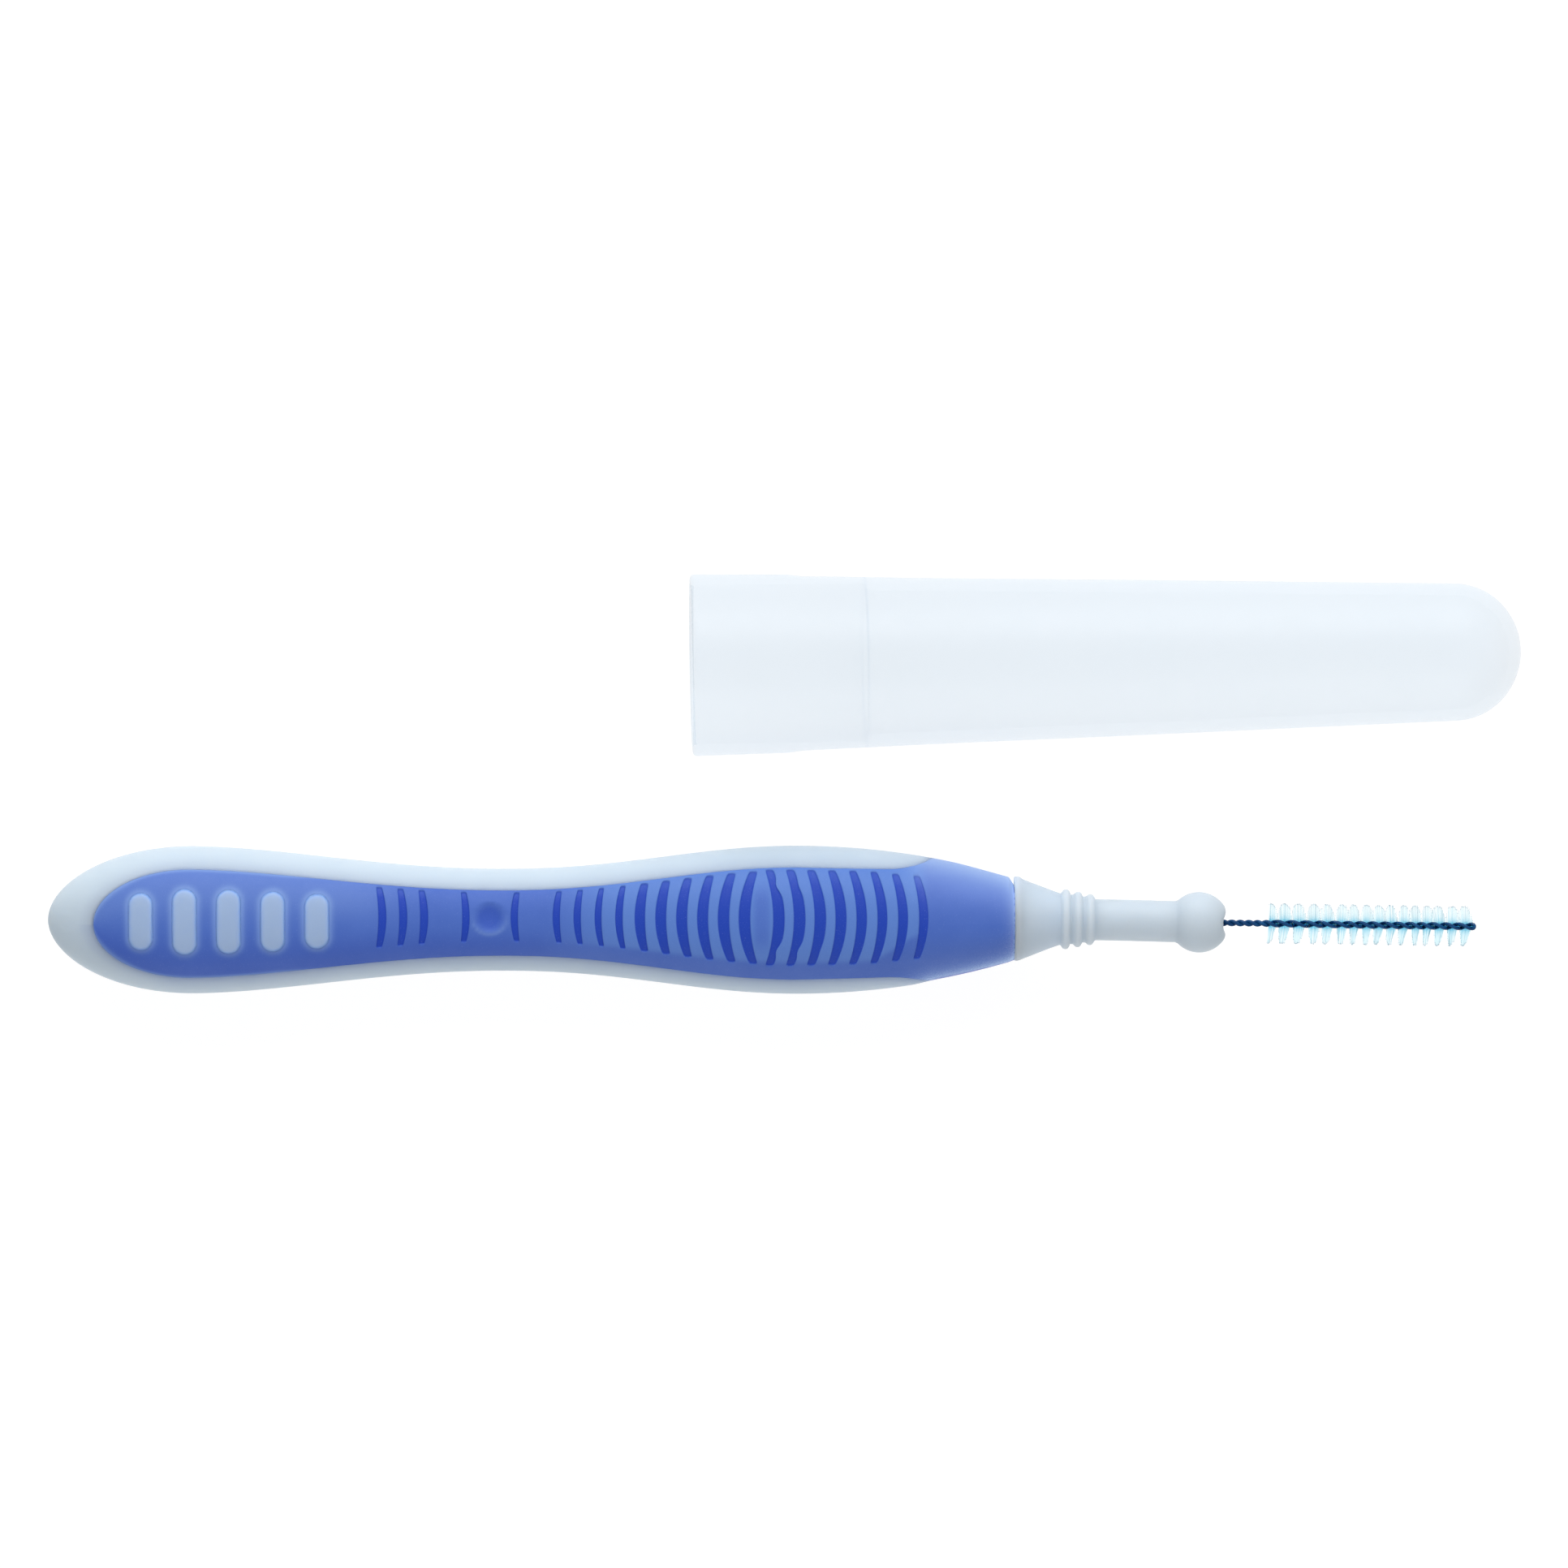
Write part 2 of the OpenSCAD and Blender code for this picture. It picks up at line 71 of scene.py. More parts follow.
# Handle
HANDLE_L = 59.6
TAIL_BULGE_AT = 8.9
TAIL_BULGE_W = 9.1
WAIST_AT = 28.1
WAIST_W = 6.3
FRONT_BULGE_AT = 46.1
FRONT_BULGE_W = 9.15
BULGE_T = 7.1
WAIST_T = 5.2
SLEEVE_END_W = 5.2
TAIL_ROUND, REAR_FALL, FRONT_RISE, NOSE_FALL = 0.53, 0.88, 1.1, 2.05
LOW_TRIM, LOW_TRIM_SPAN = 0.09, (53.2, 54.8)
TOP_TRIM, TOP_TRIM_SPAN = 0.06, (55.5, 58.5)

# Grip cover
COVER_T = 0.8
BOND_GAP = 0.02
PAD_AT = 3.0
PAD_TAIL_W = 6.7
PAD_WAIST_W = 4.05
PAD_FRONT_W = 6.95
PAD_FLARE_W = 6.7
FLARE_AT = 51.9
FLARE_L = 2.6
PAD_EDGE_DROP, PAD_EDGE_REACH = 0.015, 0.2
STRIP_EDGE_DROP, STRIP_EDGE_REACH = 0.01, 0.14
SLEEVE_ROWS_TO = HANDLE_L - 0.42
# Each row of the sleeve's rounded end, as its distance from the front and its drop under the skin
SLEEVE_EDGE = ((0.35, 0.0), (0.29, 0.025), (0.22, 0.08), (0.15, 0.14), (0.08, 0.2), (0, 0.28))
EDGE_PLAIN, EDGE_TOP, EDGE_POWER = 0.12, 1.5, 5

# Grooves, each as its place and width, dimple and studs
GROOVE_D = 0.075
GROOVE_R = 7.5
GROOVE_MARGIN = 0.55
GROOVE_SHIFT = 0.4
GROOVE_END = 0.7
DIMPLE_AT = 27.33
DIMPLE_W = 2.0
DIMPLE_D = 0.26
REAR_GROOVES = [(20.76, 0.5), (22.04, 0.5), (23.32, 0.5), (25.88, 0.46)]
WAIST_GROOVES = [(28.85, 0.45)]
LENS_AT = 44.05
MIDDLE_FIRST_AT, MIDDLE_PITCH = 31.43, 1.284
MIDDLE_W = [0.45, 0.45, 0.42, 0.46, 0.65, 0.68, 0.69, 0.69, 0.72, 0.73]
FRONT_FIRST_AT, FRONT_PITCH = 45.1, 1.269
FRONT_W = [0.72, 0.73, 0.72, 0.69, 0.65, 0.61, 0.61, 0.57]
LAST_SHORTER, LAST_SHORTER_SPAN = 0.24, (50.5, 54.5)
CORNER_SHARE = 0.035
WAVE_FIRST = len(REAR_GROOVES) + len(WAIST_GROOVES) + len(MIDDLE_W)
WAVE_AT, WAVE_REACH = 0.69, 0.145
WAVE_UPPER, WAVE_LOWER = (0.66, 0.3, 0.06), (0.66, 0.5, 0.16)
STUD_N = 5
STUD_W = 1.5
STUD_PITCH = 2.7
STUD_AT = 5.95
STUD_REACH = 0.6
STUD_SHIFT = 0.2

# Neck, from its seat on the core
SEAT_FROM_SLEEVE = 0.15
NECK_LEAN = 0.85
NOSE_L = 12.89
BULB_AT = 11.26
NOSE_RIM_R = 0.76
NOSE_HOLLOW_D = 0.16
CONE_L = 2.65
LIP_W = 5.2
CONE_FROM, CONE_FROM_W = 0.42, 4.8
CONE_END_W = 3.2
RIB_T = 0.5
RIB_PITCH = 0.75
RIB_W = 3.7
RIB_DROP = 0.27
RIB_N = 3
TUBE_W = 2.54
BULB_W = 3.73
PLUG_W = 2.0
PLUG_L = 5.0

# Wire and bristles, from the neck's seat
WIRE_W = 0.225
WIRE_ROOT_L = 3.0
BARE_HALF_TURN = 0.53
BARE_R = 0.1
PINCH_T = 0.03
FIRST_FAN = 15.684
FIRST_FAN_TURN = 4.5
FAN_STEPS = (0.895, 0.89, 0.92, 0.815, 0.92, 0.74, 0.765, 0.765, 0.79, 0.765, 0.74, 0.64, 0.815, 0.765, 0.815)
LOOP_FROM = 28.14
BRISTLES_FROM = 15.525
BRISTLE_L = 12.6
BRISTLE_R = 1.27
BRISTLE_N = 560
BRISTLE_T = 0.05
FAN_STRAIGHT = 0.6

# Cap, from its mouth
CAP_L = 50.98
CAP_WALL = 0.725
MOUTH_R = 5.575
BORE_R = 4.85
BORE_L = 10.7
LEDGE_R = 4.417
COLLAR_L = 6.0
COLLAR_END_R = 5.475
COLLAR_STEP_L = 0.75
TUBE_R = 5.36
TUBE_DIP = 0.036
DOME_W = 8.45
DOME_L = 4.1
CAP_YAW = 0.86
CAP_BELOW = 0.075
CAP_MOUTH_X = -5.664

# Places from the frame
core_low, core_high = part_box("handle_core")
TAIL_X = core_low.x / MM
AXIS_Y = (core_low.y + core_high.y) / 2 / MM
AXIS_Z = BULGE_T / 2
SEAT_X = TAIL_X + HANDLE_L + SEAT_FROM_SLEEVE


def mix(a, b, s):
    return a + (b - a) * s


def ease(s):
    return (1 - np.cos(np.pi * np.clip(s, 0, 1))) / 2


def smooth(low, high, x):
    """0 below low, 1 above high and a soft step between them."""
    s = np.clip((x - low) / (high - low), 0, 1)
    return s * s * (3 - 2 * s)


# The handle's curves
def behind_waist(u, tail, waist):
    s = np.clip((u - TAIL_BULGE_AT) / (WAIST_AT - TAIL_BULGE_AT), 0, 1)
    return mix(tail, waist, ease(s ** REAR_FALL))


def before_bulge(u, waist, front):
    s = np.clip((u - WAIST_AT) / (FRONT_BULGE_AT - WAIST_AT), 0, 1)
    return mix(waist, front, ease(s ** FRONT_RISE))


def along(u, tail, waist, front, end):
    u = np.asarray(u, float)
    back = np.clip(1 - u / TAIL_BULGE_AT, 0, 1)
    tail_part = tail * (1 - back ** 2) ** TAIL_ROUND
    nose = np.clip((u - FRONT_BULGE_AT) / (HANDLE_L - FRONT_BULGE_AT), 0, 1)
    nose_part = mix(front, end, nose ** NOSE_FALL)
    middle = np.where(u < WAIST_AT, behind_waist(u, tail, waist), before_bulge(u, waist, front))
    return np.where(u < TAIL_BULGE_AT, tail_part, np.where(u < FRONT_BULGE_AT, middle, nose_part))


def half_w(u):
    return along(u, TAIL_BULGE_W, WAIST_W, FRONT_BULGE_W, SLEEVE_END_W) / 2


def half_t(u):
    return along(u, BULGE_T, WAIST_T, BULGE_T, SLEEVE_END_W) / 2


def pad_plain(u):
    """Half the width of a pad, without its flare."""
    u = np.asarray(u, float)
    back = np.clip((TAIL_BULGE_AT - u) / (TAIL_BULGE_AT - PAD_AT), 0, 1)
    tail = PAD_TAIL_W * np.sqrt(1 - back ** 2)
    middle = np.where(u < WAIST_AT, behind_waist(u, PAD_TAIL_W, PAD_WAIST_W),
                      before_bulge(u, PAD_WAIST_W, PAD_FRONT_W))
    front = mix(PAD_FRONT_W, PAD_FLARE_W, (u - FRONT_BULGE_AT) / (FLARE_AT - FRONT_BULGE_AT))
    front = np.maximum(front, SLEEVE_END_W)
    return np.where(u < TAIL_BULGE_AT, tail, np.where(u < FRONT_BULGE_AT, middle, front)) / 2


def pad_half(u):
    """Half the width of a pad, which flares out to the whole width in the sleeve."""
    s = np.clip((np.asarray(u, float) - FLARE_AT) / FLARE_L, 0, 1)
    flare_end_half = half_w(FLARE_AT + FLARE_L)
    flared = mix(PAD_FLARE_W / 2, flare_end_half, s * s)
    width = np.where(u < FLARE_AT, pad_plain(u), flared)
    return np.where(u > FLARE_AT + FLARE_L, half_w(u), np.minimum(width, half_w(u)))


def edge_angle(u):
    """Angle from the top to the pad's edge."""
    wide = np.maximum(half_w(u), TINY)
    return np.arcsin(np.clip(pad_half(u) / wide, 0, 1))


def skin_r(u, phi):
    """Millimetres of skin for each radian of phi."""
    return np.sqrt((half_w(u) * np.cos(phi)) ** 2 + (half_t(u) * np.sin(phi)) ** 2)


def low_trim(u):
    """How much narrower the handle is near its front end, towards -Y."""
    return LOW_TRIM * smooth(*LOW_TRIM_SPAN, np.asarray(u, float))


def skin_point(u, phi, depth):
    """A point of the handle's skin, drawn in by a depth, round the axis at height 0."""
    x = TAIL_X + np.asarray(u, float) + 0 * phi
    top_trim = TOP_TRIM * smooth(*TOP_TRIM_SPAN, np.asarray(u, float))
    trim = np.where(np.sin(phi) < 0, low_trim(u), top_trim)
    y = AXIS_Y + (half_w(u) - depth - trim) * np.sin(phi)
    z = (half_t(u) - depth) * np.cos(phi)
    return np.stack([x, y, z], axis=-1)


# The grid of a pad: its rows follow the grooves, and its columns follow their ends
def groove_list():
    """Each groove as its place, its full width and the way it bows."""
    found = [(u, w, 1) for u, w in REAR_GROOVES]
    found += [(u, w, -1) for u, w in WAIST_GROOVES]
    found += [(MIDDLE_FIRST_AT + i * MIDDLE_PITCH, w, -1) for i, w in enumerate(MIDDLE_W)]
    found += [(FRONT_FIRST_AT + i * FRONT_PITCH, w, 1) for i, w in enumerate(FRONT_W)]
    return found


# Rows: their distances from a groove's middle, in its half widths, and their steps elsewhere
WALL_SHARES = (0, 0.4, 0.7, 0.84, 0.94, 1.04, 1.14, 1.26)
WALL_SPAN = (0.76, 1.14)
GROOVE_END_SPAN = (0.99, 1.035)
TAIL_ROWS = 61
TAIL_ROW_STEP, ROW_STEP, SLEEVE_ROW_STEP = 0.16, 0.22, 0.2
STRAIGHT_TO, STRAIGHT_FROM = 19.0, 57.0
# Columns: their distances from the pad's lower edge and from a groove's two ends
EDGE_STEPS = (0.03, 0.07, 0.13, 0.24)
LOW_END_STEPS = (-0.07, -0.02, 0.03, 0.08, 0.14)
TOP_END_STEPS = (-0.08, -0.03, 0.02)
TOP_ROOM_SHARES = (0.3, 0.55, 0.75, 0.9, 1)
LOW_COLUMNS, MIDDLE_COLUMNS = 6, 40
GRID_PASSES = 5


def spread(a, b, step):
    """Even values after a and before b, no further apart than step."""
    n = max(1, int(math.ceil((b - a) / step)))
    return [a + (b - a) * i / n for i in range(1, n)]


def tail_shares():
    """Shares of the way from the tail's tip to its bulge, closest together at the tip."""
    return 1 - np.cos(np.radians(np.linspace(0, 90, TAIL_ROWS)))


def pad_rows():
    """Each row as its place on the centre line, its side of a groove, and that groove's number."""
    rows = [(mix(PAD_AT, TAIL_BULGE_AT, s), 0, -1) for s in tail_shares()]
    shares = [-s for s in WALL_SHARES[:0:-1]] + list(WALL_SHARES)
    last = TAIL_BULGE_AT
    for k, (u, w, _) in enumerate(groove_list()):
        reach = w / 2 * WALL_SHARES[-1]
        step = TAIL_ROW_STEP if last < STRAIGHT_TO else ROW_STEP
        rows += [(v, 0, -1) for v in spread(last, u - reach, step)]
        rows += [(u + s * w / 2, s, k) for s in shares]
        last = u + reach
    rows += [(v, 0, -1) for v in spread(last, SLEEVE_ROWS_TO, SLEEVE_ROW_STEP)]
    rows.append((SLEEVE_ROWS_TO, 0, -1))
    return rows


def groove_half(u):
    """Half the length of a groove, seen from above."""
    plain = pad_plain(u)
    reach = np.maximum(plain - GROOVE_MARGIN, plain * 0.5) - LAST_SHORTER * smooth(*LAST_SHORTER_SPAN, u)
    return np.maximum(reach, TINY)


def column_angles(u):
    """The angles of all columns at each place u, closest together at the groove's ends."""
    wide = half_w(u)
    edge = edge_angle(u)
    scale = np.clip(edge / 0.5, 0, 1)
    shift = GROOVE_SHIFT * np.clip(pad_plain(u) / 2, 0, 1)
    reach = groove_half(u)
    top = np.minimum(np.arcsin(np.clip((shift + reach) / wide, -1, 1)), edge * 0.97)
    low = np.maximum(np.arcsin(np.clip((shift - reach) / wide, -1, 1)), -edge * 0.97)
    mm = scale / np.maximum(skin_r(u, edge), 0.5)
    columns = [-edge] + [-edge + t * mm for t in EDGE_STEPS]
    low_from, low_to = columns[-1], low - 0.12 * mm
    columns += [mix(low_from, low_to, i / LOW_COLUMNS) for i in range(1, LOW_COLUMNS + 1)]
    columns += [low + t * mm for t in LOW_END_STEPS]
    fill_from, fill_to = columns[-1], top - 0.14 * mm
    columns += [mix(fill_from, fill_to, i / MIDDLE_COLUMNS) for i in range(1, MIDDLE_COLUMNS + 1)]
    columns += [top + t * mm for t in TOP_END_STEPS]
    room = edge - columns[-1]
    columns += [columns[-1] + room * s for s in TOP_ROOM_SHARES]
    return np.stack(columns, axis=-1)


def sag(y, u):
    """How far a bowed groove falls back at a distance y from the centre line."""
    t = np.clip(y - GROOVE_SHIFT, -groove_half(u), groove_half(u))
    return GROOVE_R - np.sqrt(GROOVE_R ** 2 - t ** 2)


def wave(share, number):
    """Share of a groove's front half that its wavy edge takes back, near both ends."""
    taken = 0 * share
    for i, (upper, lower) in enumerate(zip(WAVE_UPPER, WAVE_LOWER)):
        amount = np.where(share > 0, upper, lower)
        dip = np.exp(-((np.abs(share) - WAVE_AT) / WAVE_REACH) ** 2)
        taken = np.where(number == WAVE_FIRST + i, amount * dip, taken)
    return taken


def pad_grid():
    """Place u and angle of every grid point of a pad, and how deep in a groove it lies."""
    rows = pad_rows()
    row_u, side, number = (np.array(column) for column in zip(*rows))
    side, number = side[:, None], number[:, None]
    in_groove = number >= 0
    grooves = groove_list()
    own = [grooves[k] if k >= 0 else (u, 0, 0) for u, _, k in rows]
    centre, width, bow = (np.array(column)[:, None] for column in zip(*own))
    fixed = in_groove[:, 0] | (row_u < STRAIGHT_TO) | (row_u > STRAIGHT_FROM)
    u = row_u[:, None] + 0 * column_angles(row_u)
    for _ in range(GRID_PASSES):
        phi = np.stack([column_angles(u[:, j])[:, j] for j in range(u.shape[1])], axis=1)
        y = half_w(u) * np.sin(phi)
        share = (y - GROOVE_SHIFT) / groove_half(centre)
        inside = np.clip(np.abs(share), 0, 1)
        half = width / 2 * mix(1, GROOVE_END, inside ** 2)
        front = np.where(side > 0, 1 - wave(share, number), 1)
        u = np.where(in_groove, centre - bow * sag(y, centre) + side * half * front, row_u[:, None])
        for j in range(u.shape[1]):
            u[:, j] = np.interp(row_u, row_u[fixed], u[fixed, j])
    ends = 1 - smooth(*GROOVE_END_SPAN, np.abs(share) + CORNER_SHARE * side ** 4)
    walls = 1 - smooth(*WALL_SPAN, np.abs(side))
    return u, phi, np.where(in_groove, walls * ends, 0)


def stud_places():
    """Each stud's place, and how far its half circles' centres are from its middle."""
    for i in range(STUD_N):
        u = STUD_AT + i * STUD_PITCH
        yield u, float(pad_half(u)) * STUD_REACH - STUD_W / 2


def stud_distance(u, y):
    """Distance from the nearest stud's edge, seen from above."""
    nearest = np.full(np.shape(u), np.inf)
    for at, reach in stud_places():
        dy = np.maximum(np.abs(y - STUD_SHIFT) - reach, 0)
        nearest = np.minimum(nearest, np.hypot(u - at, dy) - STUD_W / 2)
    return nearest


# Meshes
SHARP_ANGLE = 50
WELD_M = 2e-7


def grid_faces(rows, cols, wrap=False):
    """Quads of a grid of points that are counted row by row."""
    r = np.arange(rows - 1)[:, None]
    c = np.arange(cols if wrap else cols - 1)[None, :]
    n = (c + 1) % cols
    quads = np.stack([r * cols + c, (r + 1) * cols + c, (r + 1) * cols + n, r * cols + n], axis=-1)
    return quads.reshape(-1, 4).tolist()


def new_object(name, data):
    made = bpy.data.objects.new(name, data)
    bpy.context.scene.collection.objects.link(made)
    return made


def add_mesh(name, patches, body, node_names, material, weld=True, values=None):
    """One piece of patches, closed where they meet. Each value is a list of arrays in the points' order."""
    points = []
    faces = []
    for patch_points, patch_faces in patches:
        faces += [[i + len(points) for i in face] for face in patch_faces]
        points += np.asarray(patch_points, float).reshape(-1, 3).tolist()
    mesh = bpy.data.meshes.new(name)
    mesh.from_pydata((np.array(points) * MM).tolist(), [], faces)
    for label, data in (values or {}).items():
        layer = mesh.attributes.new(label, "FLOAT", "POINT")
        layer.data.foreach_set("value", np.concatenate(data).astype(np.float32).ravel())
    if weld:
        work = bmesh.new()
        work.from_mesh(mesh)
        bmesh.ops.remove_doubles(work, verts=work.verts, dist=WELD_M)
        bmesh.ops.recalc_face_normals(work, faces=work.faces)
        work.to_mesh(mesh)
        work.free()
    mesh.polygons.foreach_set("use_smooth", [True] * len(mesh.polygons))
    if weld:
        mesh.set_sharp_from_angle(angle=math.radians(SHARP_ANGLE))
    piece = new_object(name, mesh)
    mesh.materials.append(material)
    if node_names:
        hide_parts(*node_names)
    if body:
        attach(piece, body)
    return piece


# Materials
def new_material(name, color, roughness, ior=1.5):
    material = bpy.data.materials.new(name)
    material.use_nodes = True
    tree = material.node_tree
    shader = tree.nodes["Principled BSDF"]
    feed(tree, shader, {"Base Color": color, "Roughness": roughness, "IOR": ior})
    return material, tree, shader


def feed(tree, node, inputs):
    """Links each input that is given as a socket, and sets each that is given as a number or colour."""
    for key, value in inputs.items():
        if isinstance(value, bpy.types.NodeSocket):
            tree.links.new(value, node.inputs[key])
        else:
            node.inputs[key].default_value = (*value, 1) if isinstance(value, tuple) else value
    return node


def noise(tree, size_mm, detail=3.0):
    """Noise whose features are about size_mm across, in the piece's own coordinates."""
    place = tree.nodes.new("ShaderNodeTexCoord").outputs["Object"]
    inputs = {"Vector": place, "Scale": 1 / (size_mm * MM), "Detail": detail, "Roughness": 0.6}
    return feed(tree, tree.nodes.new("ShaderNodeTexNoise"), inputs).outputs["Fac"]


def ramp(tree, value, low, high, to_low=0.0, to_high=1.0):
    inputs = {"Value": value, "From Min": low, "From Max": high, "To Min": to_low, "To Max": to_high}
    return feed(tree, tree.nodes.new("ShaderNodeMapRange"), inputs).outputs["Result"]


def blend_color(tree, factor, a, b):
    """Mixes two colours, each a value or a socket, at the colour inputs 6 and 7 of the node."""
    node = tree.nodes.new("ShaderNodeMix")
    node.data_type = "RGBA"
    return feed(tree, node, {"Factor": factor, 6: a, 7: b}).outputs[2]


def combine(tree, operation, a, b):
    node = tree.nodes.new("ShaderNodeMath")
    node.operation = operation
    return feed(tree, node, {0: a, 1: b}).outputs[0]


def attribute(tree, name):
    node = tree.nodes.new("ShaderNodeAttribute")
    node.attribute_name = name
    return node.outputs["Fac"]


def over(tree, color, tones):
    """Mixes tones over a colour, each by the attribute of its name."""
    for name, tone in tones.items():
        color = blend_color(tree, attribute(tree, name), color, tone)
    return color


def bump(tree, shader, height, depth_mm):
    node = tree.nodes.new("ShaderNodeBump")
    feed(tree, node, {"Height": height, "Strength": 1.0, "Distance": depth_mm * MM})
    feed(tree, shader, {"Normal": node.outputs["Normal"]})


def clouds(tree, size_mm, detail):
    """Soft patches about size_mm across, as a share from 0 to 1."""
    return ramp(tree, noise(tree, size_mm, detail), 0.3, 0.7)


def paint(tree, shader, color, patch_mm, smoothest, roughest):
    """Links the colour, and a roughness that changes over patches."""
    rough = ramp(tree, noise(tree, patch_mm), 0.3, 0.7, smoothest, roughest)
    feed(tree, shader, {"Base Color": color, "Roughness": rough})


def white_plastic(name, low, high, reach_mm, edge):
    """Milky plastic between two tones, in which light spreads by a reach, with painted shade beside the pad
    and a tone for its edges.
    """
    material, tree, shader = new_material(name, low, 0.6)
    plain = blend_color(tree, clouds(tree, 6, 2), low, high)
    toned = over(tree, plain, {"strip_shade": (0.26, 0.35, 0.6), "halo": edge})
    paint(tree, shader, toned, 0.35, 0.54, 0.66)
    feed(tree, shader, {"Specular IOR Level": 0.3, "Subsurface Weight": 1.0,
                        "Subsurface Radius": [1.0, 0.95, 0.9], "Subsurface Scale": reach_mm * MM})
    bump(tree, shader, noise(tree, 0.18, 4), 0.006)
    return material


# The tone of the painted light along the sleeve's edges
EDGE_LIGHT_TONE = (0.52, 0.69, 0.95)


def blue_rubber():
    """Matt rubber, in which each tone of pad_colors() is mixed over the last, painted light and shade among
    them.
    """
    material, tree, shader = new_material("blue_rubber", (0.06, 0.14, 0.53), 0.55)
    body = blend_color(tree, clouds(tree, 4, 3), (0.066, 0.142, 0.51), (0.078, 0.16, 0.54))
    # Over the body: the ribs' painted highlight, pale rubber with some painted light, painted shade, and a
    # darker line on the sleeve
    toned = over(tree, body, {"rib": (0.103, 0.215, 0.595), "halo": (0.17, 0.285, 0.63),
                              "deep": (0.014, 0.055, 0.43), "rim": (0.1, 0.1, 0.5)})
    grain = ramp(tree, noise(tree, 0.07, 2), 0.4, 0.6, 0.55, 1.05)
    # Painted light along the sleeve's edges, mixed in through a fine grain on its lower side
    edge_light = over(tree, toned, {"edge_light": EDGE_LIGHT_TONE})
    grainy_edge_light = combine(tree, "MULTIPLY", grain, attribute(tree, "grainy_edge_light"))
    edge_light = blend_color(tree, grainy_edge_light, edge_light, EDGE_LIGHT_TONE)
    specks = ramp(tree, noise(tree, 0.07, 1), 0.66, 0.74, 0, 0.08)
    paint(tree, shader, blend_color(tree, specks, edge_light, (0.45, 0.55, 0.85)), 0.25, 0.5, 0.62)
    feed(tree, shader, {"Specular IOR Level": 0.2})
    bump(tree, shader, noise(tree, 0.11, 3), 0.008)
    return material


def coated_wire():
    material, tree, shader = new_material("coated_wire", (0.004, 0.04, 0.13), 0.35)
    cloud = ramp(tree, noise(tree, 0.5, 3), 0.35, 0.65)
    coat = blend_color(tree, cloud, (0.003, 0.038, 0.13), (0.007, 0.07, 0.2))
    paint(tree, shader, coat, 0.15, 0.22, 0.38)
    feed(tree, shader, {"Specular IOR Level": 0.12})
    bump(tree, shader, noise(tree, 0.06, 3), 0.004)
    return material


def bristle_nylon():
    material, tree, shader = new_material("bristle_nylon", (0.88, 0.96, 0.98), 0.3, 1.01)
    plain = blend_color(tree, clouds(tree, 0.4, 2), (0.87, 0.958, 0.98), (0.9, 0.968, 0.984))
    toned = over(tree, plain, {"root": (0.16, 0.62, 0.80), "shade": (0.2, 0.34, 0.42)})
    paint(tree, shader, toned, 0.05, 0.25, 0.4)
    feed(tree, shader, {"Transmission Weight": 1.0})
    bump(tree, shader, noise(tree, 0.03, 2), 0.003)
    return material


def clear_plastic(name, veil):
    """Thin plastic, of which each face only veils what is behind it."""
    material, tree, shader = new_material(name, (0.39, 0.57, 0.71), 0.35)
    skin = blend_color(tree, clouds(tree, 5, 3), (0.4, 0.59, 0.76), (0.43, 0.61, 0.78))
    paint(tree, shader, over(tree, skin, {"line": (0.06, 0.3, 0.55)}), 1.2, 0.3, 0.45)
    feed(tree, shader, {"Alpha": veil})
    bump(tree, shader, noise(tree, 0.5, 3), 0.005)
    return material


WHITE = white_plastic("white_plastic", (0.535, 0.63, 0.71), (0.565, 0.66, 0.74), 1.8, (0.34, 0.48, 0.85))
# On the neck, the edge tone is painted light on the lip's back edge, where the seam is shaded, and a lighter
# tone over the cone
NECK_WHITE = white_plastic("neck_plastic", (0.505, 0.578, 0.642), (0.525, 0.598, 0.667), 3.0,
                           (0.57, 0.73, 0.95))
STUD_WHITE = white_plastic("stud_plastic", (0.36, 0.485, 0.70), (0.375, 0.5, 0.715), 0.5, (0.2, 0.36, 0.8))
BLUE = blue_rubber()
COATED = coated_wire()
NYLON = bristle_nylon()
CLEAR = clear_plastic("clear_plastic", 0.19)
CLEAR_INSIDE = clear_plastic("clear_plastic_inside", 0.01)


# Grip cover
INNER_COLUMNS = 12


def inner_columns(count):
    """Numbers of the columns that the hidden inner faces keep."""
    return sorted({round(i * (count - 1) / INNER_COLUMNS) for i in range(INNER_COLUMNS + 1)})


def facing(phi, lower):
    """The same angle on the lower face, if lower is true."""
    return np.pi - phi if lower else phi


def edge_drop(u, phi):
    """How far the rounded edge of a pad lies under the skin. The sleeve has no such edge."""
    distance = np.abs(edge_angle(u) - np.abs(phi)) * skin_r(u, phi)
    sleeve = smooth(FLARE_AT + FLARE_L * 0.6, FLARE_AT + FLARE_L, u)
    return PAD_EDGE_DROP * (1 - smooth(0, PAD_EDGE_REACH, distance)) * (1 - sleeve)


def with_sleeve_edge(u, phi):
    """The grid with the rows of the sleeve's rounded front edge added."""
    for back, _ in SLEEVE_EDGE:
        row = np.full((1, u.shape[1]), HANDLE_L - back)
        u = np.concatenate([u, row])
        phi = np.concatenate([phi, column_angles(row[0][:1])])
    return u, phi


def dimple_depth(u, y):
    distance = np.hypot(u - DIMPLE_AT, y - GROOVE_SHIFT)
    bowl = np.clip(1 - (distance / (DIMPLE_W / 2)) ** 2, 0, 1)
    return DIMPLE_D * bowl * smooth(0, 0.35, bowl)


def dimple_light(u, y):
    """The lighter crescent on the dimple's -Y side."""
    across = y - GROOVE_SHIFT
    distance = np.hypot(u - DIMPLE_AT, across)
    ring = np.exp(-((distance - DIMPLE_W / 2 - 0.05) / 0.13) ** 2)
    return ring * smooth(-0.5, 1, -across / np.maximum(distance, 0.1))


